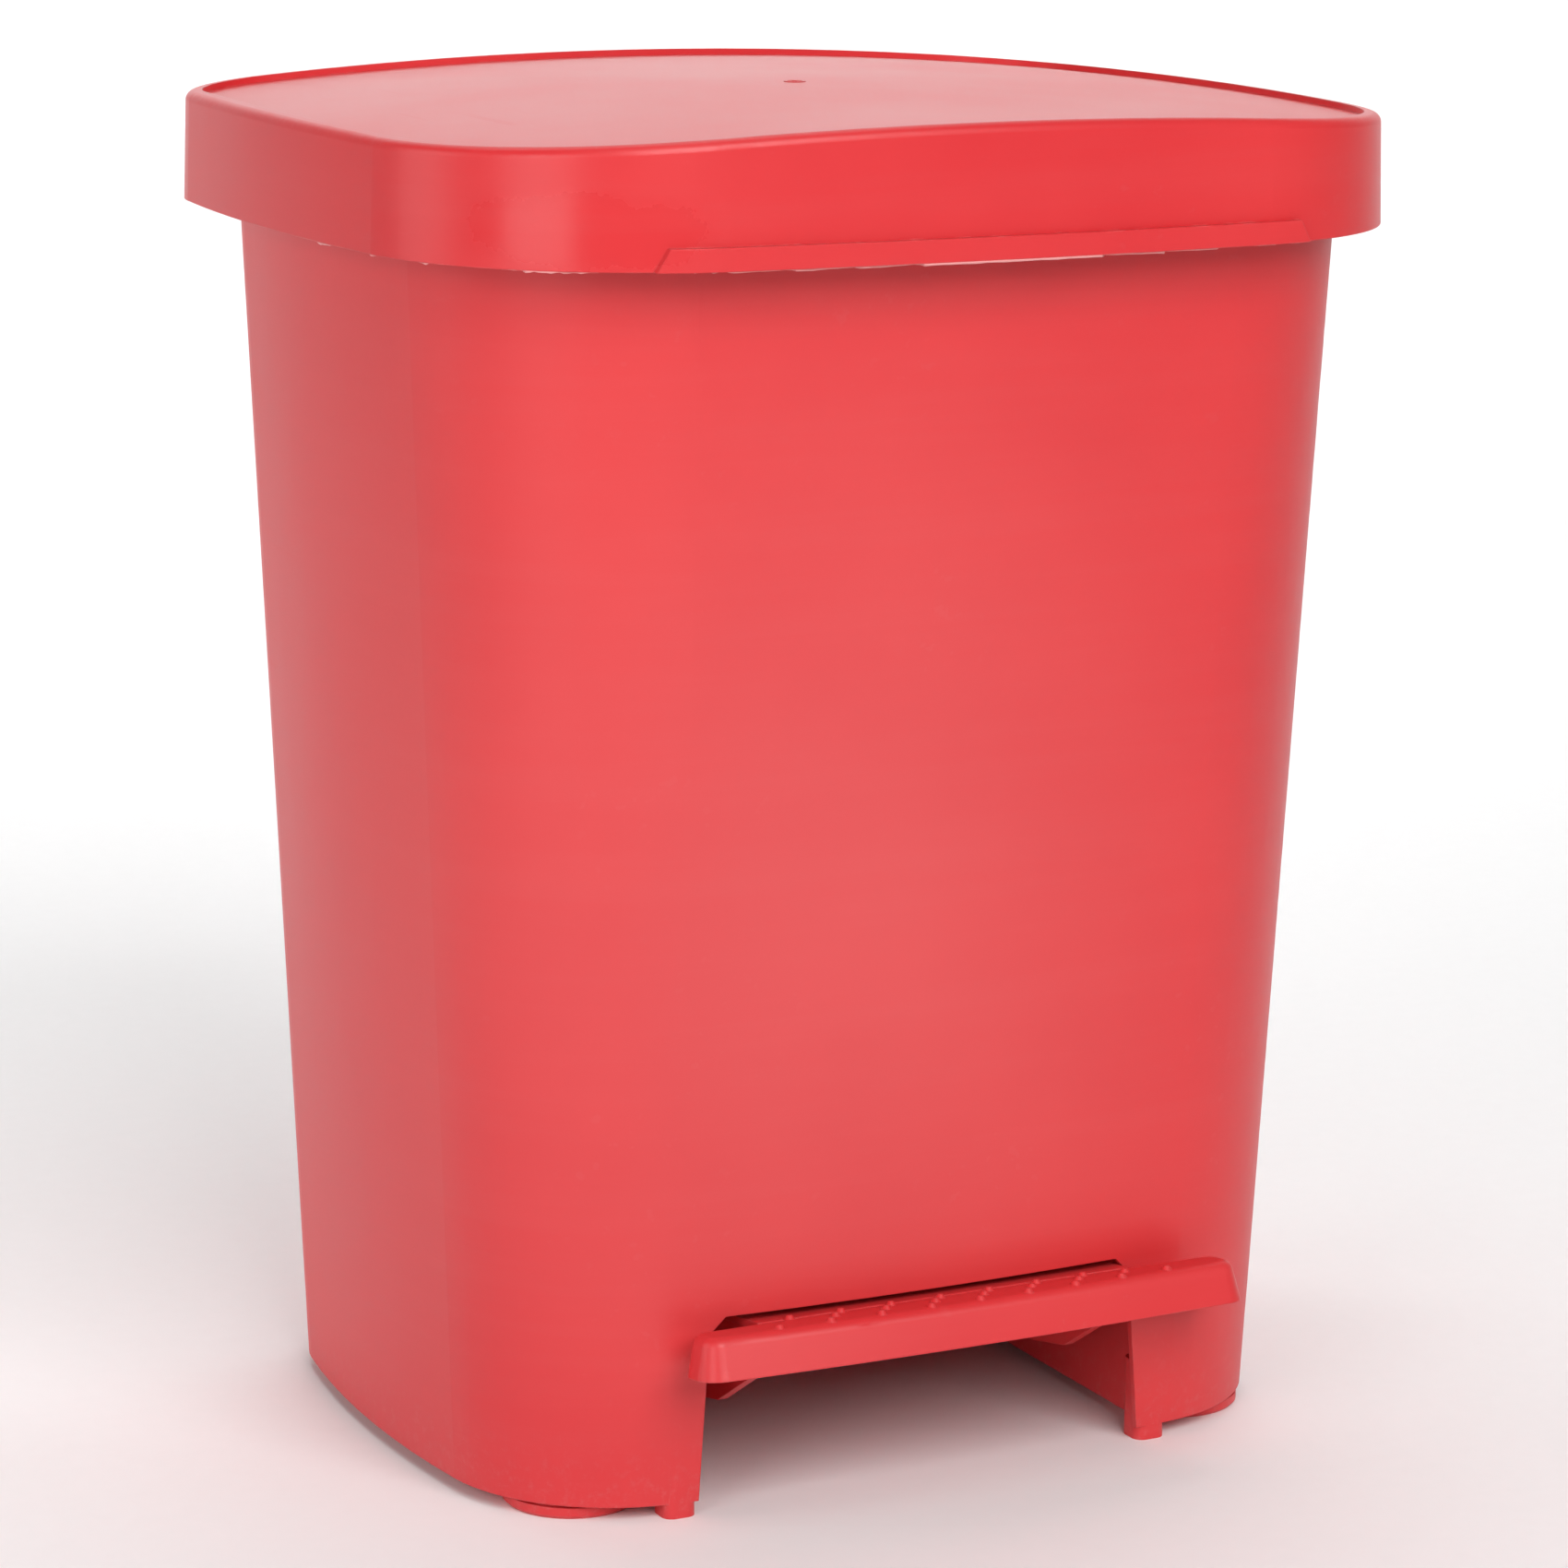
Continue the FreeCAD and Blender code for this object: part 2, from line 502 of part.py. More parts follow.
def bin_body():
    outer = tapered("body_outer", "bodylo", "body_bottom_z", "bodyup", "body_top_z")
    inner = tapered("body_inner", "bodylo", "body_bottom_z + floor_thick",
                    "bodyup", "body_top_z + 1", "wall_thick")
    under = tapered("under_inner", "bodylo", "body_bottom_z - 0.1",
                    "bodyup", "body_top_z", "wall_thick")
    tunnel_form = box("tunnel_form", "-tunnel_half_width - wall_thick",
                      "tunnel_half_width + wall_thick", "-400", "400",
                      "0", "tunnel_height + wall_thick")
    groove_form = box("groove_form", "-groove_half_width - wall_thick",
                      "groove_half_width + wall_thick", "groove_floor_y - wall_thick", "400",
                      "0", "groove_top_z + wall_thick")
    keep_out = fuse("keep_out", [tunnel_form, groove_form])
    cavity = cut("body_cavity", inner, keep_out)
    shell = cut("body_shell", outer, cavity)
    tunnel_box = box("tunnel_box", "-tunnel_half_width", "tunnel_half_width",
                     "-400", "400", "-1", "tunnel_height")
    tunnel = common("tunnel_space", under, tunnel_box)
    bare = cut("shell_tunnel", shell, tunnel)
    rim_block = upright("rim_block", "rim", "body_top_z - rim_height", "body_top_z")
    rim_hole = upright("rim_hole", "bodyup", "body_top_z - rim_height - 1", "body_top_z + 1",
                       "wall_thick")
    rim = cut("rim_ring", rim_block, rim_hole)
    whole = fuse("body_fused", [bare, rim] + legs() + hinge_lugs() + axle_ears())
    groove = box("groove_space", "-groove_half_width", "groove_half_width",
                 "groove_floor_y", "400", "-1", "groove_top_z")
    mouth = padded("mouth_space", "XZ_Plane", [
        ("-cut_left_bottom", "-1"),
        ("cut_right_bottom", "-1"),
        ("cut_right_top", "cut_top_z - cut_chamfer"),
        ("cut_right_top - cut_chamfer", "cut_top_z"),
        ("-cut_left_top + cut_chamfer", "cut_top_z"),
        ("-cut_left_top", "cut_top_z - cut_chamfer"),
    ], "300")
    ahead = box("mouth_limit", "-tunnel_half_width", "tunnel_half_width",
                "-400", "-leg_back + 8", "-2", "cut_top_z + 1")
    mouth_cut = common("mouth_cut", mouth, ahead)
    drill = [
        groove,
        mouth_cut,
        rod("hinge_pin_hole", "x", "hinge_pin_radius", "2 * hinge_pin_half",
            "-hinge_pin_half", "hinge_y", "hinge_z"),
        rod("axle_hole", "x", "axle_radius", "2 * axle_half",
            "-axle_half", "pivot_y", "pivot_z"),
    ]
    for name, x, y in foot_places():
        drill.append(rod(f"{name}_socket", "z", "foot_stem_radius", "20", x, y, "-5"))
    spaces = fuse("body_spaces", drill)
    return cut("bin_body", whole, spaces)


def foot_places():
    return [
        ("foot_front_left", "-foot_x", "-foot_front_y"),
        ("foot_front_right", "foot_x", "-foot_front_y"),
        ("foot_rear_left", "-foot_x", "foot_back_y"),
        ("foot_rear_right", "foot_x", "foot_back_y"),
    ]


def turned(name, points):
    """Closed straight-sided section turned about the vertical axis."""
    body = doc.addObject("PartDesign::Body", name)
    sketch = polygon(body, f"{name}_section", "XZ_Plane", points)
    spin = body.newObject("PartDesign::Revolution", f"{name}_turn")
    spin.Profile = sketch
    spin.ReferenceAxis = (sketch, ["V_Axis"])
    spin.Angle = 360
    body.Tip = spin
    doc.recompute()
    return body


def foot(name, x, y):
    """Disc foot with a thin neck and a stem that plugs into the floor of the bin."""
    body = turned(name, [
        ("0", "0"),
        ("foot_radius - foot_edge", "0"),
        ("foot_radius", "foot_edge"),
        ("foot_radius", "body_bottom_z - foot_neck_height"),
        ("foot_neck_radius", "body_bottom_z - foot_neck_height"),
        ("foot_neck_radius", "body_bottom_z"),
        ("foot_stem_radius", "body_bottom_z"),
        ("foot_stem_radius", "body_bottom_z + floor_thick"),
        ("0", "body_bottom_z + floor_thick"),
    ])
    place(body, x, y)
    return body


# ---------------------------------------------------------------- pins

def pin_with_caps(name, caps_name, radius, half, y, z, cap_radius, cap_length, seat):
    """Round pin along X and a pair of push-on caps that stop it at both ends."""
    pin = rod(name, "x", radius, f"2 * {half}", f"-{half}", y, z)
    caps = []
    for index, start in enumerate((seat, f"-({seat}) - {cap_length}")):
        blank = rod(f"{caps_name}_blank_{index}", "x", cap_radius, cap_length, start, y, z)
        bore = rod(f"{caps_name}_bore_{index}", "x", radius, cap_length, start, y, z)
        caps.append(cut(f"{caps_name}_{index}", blank, bore))
    return pin, group(caps_name, caps)


# ---------------------------------------------------------------- groove fittings

def rod_guide(name, low_z):
    """Block across the groove that the push rod slides through."""
    block = box(f"{name}_block", "-groove_half_width", "groove_half_width",
                "groove_floor_y", "cover_y", low_z, f"{low_z} + guide_height")
    bore = rod(f"{name}_bore", "z", "rod_radius + run_gap", "guide_height + 2",
               "0", "rod_y", f"{low_z} - 1")
    drill = [bore]
    for index, sign in enumerate(("-", "")):
        drill.append(rod(f"{name}_tap_{index}", "y", "screw_radius", "10",
                         f"{sign}cover_screw_x", "cover_y - cover_screw_length",
                         f"{low_z} + guide_height / 2"))
    return cut(name, block, fuse(f"{name}_drill", drill))


def rear_cover():
    """Flat strip that closes the groove; it is screwed to both rod guides."""
    strip = box("rear_cover_strip", "-groove_half_width", "groove_half_width",
                "cover_y", "cover_y + cover_thick", "cover_low_z", "cover_high_z")
    drill = []
    for index, (x, z) in enumerate(cover_screw_places()):
        drill.append(rod(f"cover_hole_{index}", "y", "screw_radius", "8", x, "cover_y - 2", z))
    return cut("rear_cover", strip, fuse("cover_drill", drill))


def cover_screw_places():
    out = []
    for low_z in ("guide_low_z", "guide_high_z"):
        for sign in ("-", ""):
            out.append((f"{sign}cover_screw_x", f"{low_z} + guide_height / 2"))
    return out


def rear_cover_screws():
    screws = []
    for index, (x, z) in enumerate(cover_screw_places()):
        shank = rod(f"cover_shank_{index}", "y", "screw_radius",
                    "cover_screw_length + cover_thick", x, "cover_y - cover_screw_length", z)
        head = rod(f"cover_head_{index}", "y", "screw_head_radius", "screw_head_thick",
                   x, "cover_y + cover_thick", z)
        screws.append(fuse(f"cover_screw_{index}", [shank, head]))
    return group("rear_cover_screws", screws)


# ---------------------------------------------------------------- push rod

def push_rod():
    return rod("push_rod", "z", "rod_radius", "rod_top_z - rod_foot_z",
               "0", "rod_y", "rod_foot_z")


def slot(name, radius, sway, y, z):
    """Round-ended slot across a rod end, long in Y."""
    items = []
    for index, sign in enumerate(("-", "+")):
        items.append(rod(f"{name}_end_{index}", "x", radius, "4 * rod_block_half",
                         "-2 * rod_block_half", f"{y} {sign} ({sway})", z))
    items.append(box(f"{name}_mid", "-2 * rod_block_half", "2 * rod_block_half",
                     f"{y} - ({sway})", f"{y} + ({sway})", f"{z} - ({radius})",
                     f"{z} + ({radius})"))
    return fuse(name, items)


def rod_head():
    """Yoke on top of the rod; the crank pin slides in its slot."""
    block = box("rod_head_block", "-rod_block_half", "rod_block_half",
                "rod_y - crank_sway - head_margin", "rod_y + crank_sway + head_margin",
                "rod_top_z - rod_grip", "crank_rest_z + head_margin")
    eye = slot("rod_head_slot", "crank_pin_radius + yoke_lag + slot_gap", "crank_sway",
               "rod_y", "crank_rest_z")
    bore = rod("rod_head_bore", "z", "rod_radius", "20", "0", "rod_y", "rod_top_z - 20")
    return cut("rod_head", block, fuse("rod_head_spaces", [eye, bore]))


def rod_foot():
    """Eye on the bottom of the rod; the pedal's rear pin slides in its slot."""
    block = box("rod_foot_block", "-rod_block_half", "rod_block_half",
                "rod_y - foot_margin", "rod_y + foot_margin",
                "rear_pin_rest_z - foot_margin", "rod_foot_z + rod_grip")
    eye = slot("rod_foot_slot", "rear_pin_radius + slot_gap", "pin_sway + slot_gap",
               "pin_mean_y", "rear_pin_rest_z")
    bore = rod("rod_foot_bore", "z", "rod_radius", "20", "0", "rod_y", "rod_foot_z")
    return cut("rod_foot", block, fuse("rod_foot_spaces", [eye, bore]))


def rod_lock_pins():
    """Spring pins that hold the rod in its two end pieces."""
    pins = []
    for index, z in enumerate(("rod_top_z - rod_grip / 2", "rod_foot_z + rod_grip / 2")):
        pins.append(rod(f"lock_pin_{index}", "x", "lock_pin_radius", "2 * rod_block_half",
                        "-rod_block_half", "rod_y", z))
    return pins


# ---------------------------------------------------------------- lid

def dome(name, drops=()):
    """Everything below the crowned top surface, lowered by the named sizes."""
    body = doc.addObject("PartDesign::Body", name)
    sketch = sketch_on(body, f"{name}_profile", "XZ_Plane")
    fall = "".join(f" - {item}" for item in drops)
    bind(sketch, "AttachmentOffset.Base.y", f"lid_crown_z{fall} - crown_radius_y")
    bind(sketch, "AttachmentOffset.Base.z", "-crown_shift")
    radius = D["crown_radius_x"]
    peak = D["crown_radius_y"]
    half = D["dome_half_width"]
    low = peak - D["dome_depth"]
    edge = peak - radius + math.sqrt(radius ** 2 - half ** 2)
    turn = math.asin(half / radius)
    middle = math.pi / 2
    arch = Part.Circle(FreeCAD.Vector(0, peak - radius, 0), FreeCAD.Vector(0, 0, 1), radius)
    sketch.addGeometry(Part.ArcOfCircle(arch, middle - turn, middle + turn), False)
    corners = [(-half, edge), (-half, low), (half, low), (half, edge)]
    for first, second in zip(corners, corners[1:]):
        sketch.addGeometry(Part.LineSegment(FreeCAD.Vector(*first, 0),
                                            FreeCAD.Vector(*second, 0)), False)
    for ends in ((0, 2, 1, 1), (1, 2, 2, 1), (2, 2, 3, 1), (3, 2, 0, 1)):
        sketch.addConstraint(Sketcher.Constraint("Coincident", *ends))
    sketch.addConstraint(Sketcher.Constraint("Vertical", 1))
    sketch.addConstraint(Sketcher.Constraint("Horizontal", 2))
    sketch.addConstraint(Sketcher.Constraint("Vertical", 3))
    sketch.addConstraint(Sketcher.Constraint("PointOnObject", 0, 3, -2))
    for constraint, text in (
            (Sketcher.Constraint("Radius", 0, radius), "crown_radius_x"),
            (Sketcher.Constraint("DistanceY", -1, 1, 0, 3, peak - radius),
             "crown_radius_y - crown_radius_x"),
            (Sketcher.Constraint("DistanceX", 2, 1, -1, 1, half), "dome_half_width"),
            (Sketcher.Constraint("DistanceX", -1, 1, 2, 2, half), "dome_half_width"),
            (Sketcher.Constraint("DistanceY", -1, 1, 2, 1, low),
             "crown_radius_y - dome_depth")):
        row = sketch.addConstraint(constraint)
        sketch.setExpression(f"Constraints[{row}]", ex(text))
    spin = body.newObject("PartDesign::Revolution", f"{name}_turn")
    spin.Profile = sketch
    spin.ReferenceAxis = (sketch, ["H_Axis"])
    spin.Midplane = True
    bind(spin, "Angle", "dome_turn")
    body.Tip = spin
    doc.recompute()
    return body


def lip():
    """Raised finger lip along the front of the skirt."""
    band = upright("lip_band", "lidlo", "lid_bottom_z", "lid_bottom_z + lip_height", "-lip_out")
    keep = padded("lip_keep", "XZ_Plane", [
        ("-lip_left", "lid_bottom_z"),
        ("lip_right", "lid_bottom_z"),
        ("lip_right - lip_slope", "lid_bottom_z + lip_height"),
        ("-lip_left + lip_slope", "lid_bottom_z + lip_height"),
    ], "300")
    return common("lip_front", band, keep)


def lid():
    outer = tapered("lid_outer", "lidlo", "lid_bottom_z", "lidup", "lid_side_top_z")
    form = common("lid_form", outer, dome("lid_dome"))
    smooth = rounded("lid_smooth", form, "lid_edge_round",
                     lambda edge: edge.BoundBox.ZMin > D["lid_bottom_z"] + 20
                     and edge.Length > 40)
    lipped = fuse("lid_lipped", [smooth, lip()])
    inner = tapered("lid_inner", "lidlo", "lid_bottom_z - 1", "lidup", "lid_side_top_z",
                    "lid_wall")
    hollow = common("lid_hollow", inner, dome("hollow_dome", ("panel_drop", "lid_wall")))
    pad = box("crank_pad", "-pad_half_width", "pad_half_width", "pad_y", "lidlo_back",
              "crank_plate_low_z", "crank_plate_low_z + crank_plate_height")
    cavity = cut("lid_cavity", hollow, pad)
    panel_side = upright("panel_side", "lidup", "lid_bottom_z", "lid_side_top_z", "bead_width")
    panel_floor = dome("panel_floor", ("panel_drop",))
    panel = cut("panel_space", panel_side, panel_floor)
    skin = cut("lid_skin", lipped, fuse("lid_spaces", [cavity, panel]))
    knuckles = []
    for index, centre in enumerate(("-knuckle_x", "knuckle_x")):
        start = f"{centre} - knuckle_half"
        eye = rod(f"knuckle_eye_{index}", "x", "knuckle_radius", "2 * knuckle_half",
                  start, "hinge_y", "hinge_z")
        web = box(f"knuckle_web_{index}", start, f"{start} + 2 * knuckle_half",
                  "hinge_y", "lidlo_back - 1", "hinge_z - knuckle_radius + 2",
                  "lid_bottom_z + 12")
        knuckles += [eye, web]
    whole = fuse("lid_fused", [skin] + knuckles)
    drill = [rod("knuckle_bore", "x", "hinge_pin_radius + run_gap", "2 * hinge_pin_half",
                 "-hinge_pin_half", "hinge_y", "hinge_z")]
    for index, (x, z) in enumerate(crank_screw_places()):
        drill.append(rod(f"lid_hole_{index}", "y", "screw_radius", "20", x, "pad_y - 2", z))
        drill.append(rod(f"lid_sink_{index}", "y", "screw_head_radius", "10",
                         x, "crank_head_y", z))
    return cut("lid", whole, fuse("lid_drill", drill))


def crank_screw_places():
    middle = "crank_plate_low_z + crank_plate_height / 2"
    return [("-crank_screw_x", middle), ("crank_screw_x", middle)]


def lid_crank():
    """Forked arm on the lid that the push rod turns."""
    plate = box("crank_plate", "-pad_half_width", "pad_half_width",
                "pad_y - crank_plate_thick", "pad_y",
                "crank_plate_low_z", "crank_plate_low_z + crank_plate_height")
    parts = [plate]
    for index, start in enumerate(("cheek_inner", "-cheek_inner - cheek_thick")):
        hub = rod(f"crank_hub_{index}", "x", "crank_hub_radius", "cheek_thick",
                  start, "hinge_y", "hinge_z")
        boss = rod(f"crank_boss_{index}", "x", "crank_boss_radius", "cheek_thick",
                   start, "crank_rest_y", "crank_rest_z")
        post = box(f"crank_post_{index}", start, f"{start} + cheek_thick",
                   "hinge_y - 1", "pad_y", "hinge_z", "crank_plate_low_z + 8")
        arm = doc.addObject("Part::Box", f"crank_arm_{index}")
        bind(arm, "Length", "cheek_thick")
        bind(arm, "Width", "crank_radius")
        bind(arm, "Height", "2 * crank_arm_half")
        drop = FreeCAD.Rotation(FreeCAD.Vector(1, 0, 0), 180 + D["lid_swing"] / 2)
        arm.Placement = FreeCAD.Placement(FreeCAD.Vector(), drop)
        half = "lid_swing / 2"
        place(arm, start, f"hinge_y - crank_arm_half * sin({half})",
              f"hinge_z + crank_arm_half * cos({half})")
        parts += [hub, boss, post, arm]
    drill = [
        rod("crank_pivot_bore", "x", "hinge_pin_radius + run_gap", "60",
            "-30", "hinge_y", "hinge_z"),
        rod("crank_pin_bore", "x", "crank_pin_radius", "60", "-30", "crank_rest_y",
            "crank_rest_z"),
    ]
    for index, (x, z) in enumerate(crank_screw_places()):
        drill.append(rod(f"crank_tap_{index}", "y", "screw_radius", "20",
                         x, "pad_y - crank_plate_thick - 2", z))
    return cut("lid_crank", fuse("crank_fused", parts), fuse("crank_drill", drill))


def crank_screws():
    screws = []
    for index, (x, z) in enumerate(crank_screw_places()):
        shank = rod(f"crank_shank_{index}", "y", "screw_radius",
                    "crank_head_y - pad_y + crank_plate_thick", x,
                    "pad_y - crank_plate_thick", z)
        head = rod(f"crank_head_{index}", "y", "screw_head_radius", "screw_head_thick",
                   x, "crank_head_y", z)
        screws.append(fuse(f"crank_screw_{index}", [shank, head]))
    return group("crank_screws", screws)


# ---------------------------------------------------------------- pedal

def tread_form(name, inset, height):
    """Drafted block on the outline of the tread, standing on its lower edge."""
    body = doc.addObject("PartDesign::Body", name)
    bind(body, "Placement.Base.x", "tread_shift")
    low = tread_outline(body, f"{name}_outline", "tread_top - tread_height", inset)
    pad = body.newObject("PartDesign::Pad", f"{name}_pad")
    pad.Profile = low
    bind(pad, "Length", height)
    bind(pad, "TaperAngle", "-tread_draft")
    body.Tip = pad
    doc.recompute()
    return body


def tread_outline(body, name, height, inset):
    """Outline of the tread: straight back, bowed front, four round corners."""
    shrink = D[inset] if inset in D else 0.0
    radius = D["tread_corner"] - shrink
    half = D["tread_half_width"] - shrink
    bow = D["tread_bow"] - shrink
    front = -D["tread_front"] + shrink
    back = -D["tread_back"] - shrink
    mid = (0.0, front + bow)
    corner_x = half - radius
    corner_y = mid[1] - math.sqrt((bow - radius) ** 2 - corner_x ** 2)
    lean = math.atan2(corner_y - mid[1], corner_x)
    up = FreeCAD.Vector(0, 0, 1)
    quarter = math.pi / 2
    sketch = sketch_on(body, name, "XY_Plane", height)

    def arc(centre, size, start, end):
        circle = Part.Circle(FreeCAD.Vector(centre[0], centre[1], 0), up, size)
        sketch.addGeometry(Part.ArcOfCircle(circle, start, end), False)

    def line(first, second):
        sketch.addGeometry(Part.LineSegment(FreeCAD.Vector(*first, 0),
                                            FreeCAD.Vector(*second, 0)), False)

    back_round = D["tread_back_round"] - shrink
    arc(mid, bow, -math.pi - lean, lean)
    arc((corner_x, corner_y), radius, lean, 0)
    line((half, corner_y), (half, back - back_round))
    arc((half - back_round, back - back_round), back_round, 0, quarter)
    line((half - back_round, back), (-half + back_round, back))
    arc((-half + back_round, back - back_round), back_round, quarter, math.pi)
    line((-half, back - back_round), (-half, corner_y))
    arc((-corner_x, corner_y), radius, math.pi, -math.pi - lean + 2 * math.pi)
    for index in range(8):
        sketch.addConstraint(Sketcher.Constraint("Tangent", index, 2, (index + 1) % 8, 1))
    inset_text = inset if inset in D else "0"
    for index, text, value in ((0, f"tread_bow - {inset_text}", bow),
                               (1, f"tread_corner - {inset_text}", radius),
                               (7, f"tread_corner - {inset_text}", radius),
                               (3, f"tread_back_round - {inset_text}", back_round),
                               (5, f"tread_back_round - {inset_text}", back_round)):
        row = sketch.addConstraint(Sketcher.Constraint("Radius", index, value))
        sketch.setExpression(f"Constraints[{row}]", ex(text))
    sketch.addConstraint(Sketcher.Constraint("PointOnObject", 0, 3, -2))
    for kind, first, first_pos, second, second_pos, text, value in (
            ("DistanceY", -1, 1, 0, 3, "tread_bow - tread_front", mid[1]),
            ("DistanceX", -1, 1, 2, 1, f"tread_half_width - {inset_text}", half),
            ("DistanceX", 6, 1, -1, 1, f"tread_half_width - {inset_text}", half),
            ("DistanceY", 4, 1, -1, 1, f"tread_back + {inset_text}", -back)):
        row = sketch.addConstraint(Sketcher.Constraint(kind, first, first_pos,
                                                       second, second_pos, value))
        sketch.setExpression(f"Constraints[{row}]", ex(text))
    return sketch


def bumps():
    """Grip bumps in rows that run back at a slant."""
    out = []
    count = 0
    for column in range(-4, 5):
        for step_x, step_y, first, last in ((0.0, 0.0, -4, 4), (5.6, 7.2, -3, 3),
                                            (10.4, 12.6, -4, 2)):
            if not first <= column <= last:
                continue
            y = -D["bump_front"] + D["bump_bow"] * column * column + step_y
            cap = doc.addObject("Part::Cone", f"bump_{count}")
            bind(cap, "Radius1", "bump_radius")
            bind(cap, "Radius2", "bump_radius * 0.45")
            bind(cap, "Height", "bump_height + 0.5")
            bind(cap, "Placement.Base.x", f"tread_shift + bump_pitch * {column} + {step_x}")
            cap.Placement.Base.y = y
            bind(cap, "Placement.Base.y",
                 f"-bump_front + bump_bow * {column * column} + {step_y}")
            bind(cap, "Placement.Base.z", "tread_top - 0.5")
            out.append(cap)
            count += 1
    return out


def pedal_arm(name, start):
    """Side arm from under the tread, past the axle, to the rear crossbar."""
    body = padded(name, "YZ_Plane", [
        ("-tread_back - 12", "-1"),
        ("-tread_back - 8", "-tread_skirt_low"),
        ("-tread_back + 6", "-arm_low"),
        ("-keel_front", "-keel_low"),
        ("-keel_front + keel_length", "-keel_low - keel_fall"),
        ("-14", "-arm_boss_radius - 2"),
        ("14", "-arm_boss_radius"),
        ("tongue_back - 6", "-arm_rear_half"),
        ("tongue_back", "-arm_rear_half"),
        ("tongue_back", "arm_rear_half"),
        ("tongue_back - 6", "arm_rear_half"),
        ("12", "arm_boss_radius"),
        ("-12", "arm_boss_radius"),
        ("-40", "-1"),
    ], "arm_thick")
    place(body, start)
    return body


def pedal():
    """Foot lever: tread, two side arms, rear crossbar and tongue, in one moulding."""
    tray = rounded("tray_smooth", tread_form("tread_tray", "0", "tread_height"),
                   "tread_edge_round",
                   lambda edge: edge.BoundBox.ZMin > D["tread_top"] - 0.01)
    hollow = rounded("tray_hollow_smooth",
                     tread_form("tray_hollow", "tread_thick", "tread_height - tread_thick"),
                     "tread_inner_round",
                     lambda edge: edge.BoundBox.ZMin > D["tread_top"] - D["tread_thick"] - 0.01)
    tray_open = cut("tray_open", tray, hollow)
    plate = box("tread_plate", "-tongue_half", "tongue_half", "-tread_back - 4",
                "-plate_back", "tread_top - tread_thick", "tread_top")
    rib_front = box("plate_rib", "-arm_x", "arm_x", "-plate_back - tread_thick", "-plate_back",
                    "-arm_boss_radius", "tread_top")
    bar = box("rear_bar", "-arm_x", "arm_x", "tongue_back - 4", "tongue_back",
              "-arm_rear_half", "arm_rear_half")
    arms = [
        pedal_arm("arm_left", "-arm_x - arm_thick / 2"),
        pedal_arm("arm_right", "arm_x - arm_thick / 2"),
    ]
    prongs = []
    for index, start in enumerate(("cheek_inner", "-cheek_inner - cheek_thick")):
        prong = box(f"prong_{index}", start, f"{start} + cheek_thick",
                    "tongue_back - 1", "rear_arm", "-prong_half", "prong_half")
        end = rod(f"prong_end_{index}", "x", "prong_half", "cheek_thick",
                  start, "rear_arm", "0")
        prongs += [prong, end]
    whole = fuse("pedal_fused", [tray_open, plate, rib_front, bar] + arms + prongs + bumps())
    drill = fuse("pedal_drill", [
        rod("pedal_axle_bore", "x", "axle_radius + run_gap", "2 * axle_half",
            "-axle_half", "0", "0"),
        rod("pedal_pin_bore", "x", "rear_pin_radius", "60", "-30", "rear_arm", "0"),
    ])
    lever = cut("pedal", whole, drill)
    return lever


def at_pedal(obj):
    """Set a lever piece at its rest tilt, front end up, about the axle."""
    tilt = FreeCAD.Rotation(FreeCAD.Vector(1, 0, 0), -D["pedal_half_swing"])
    obj.Placement = FreeCAD.Placement(FreeCAD.Vector(0, D["pivot_y"], D["pivot_z"]), tilt)
    place(obj, None, "pivot_y", "pivot_z")
    return obj


# ---------------------------------------------------------------- assembly

def export(obj, label):
    obj.Label = label
    shape = obj.Shape
    if shape.isNull() or not shape.isValid():
        raise RuntimeError(f"{label}: bad shape")
    shape.exportStep(f"parts/{label}.step")
    print(label, len(shape.Solids), round(shape.Volume, 1))


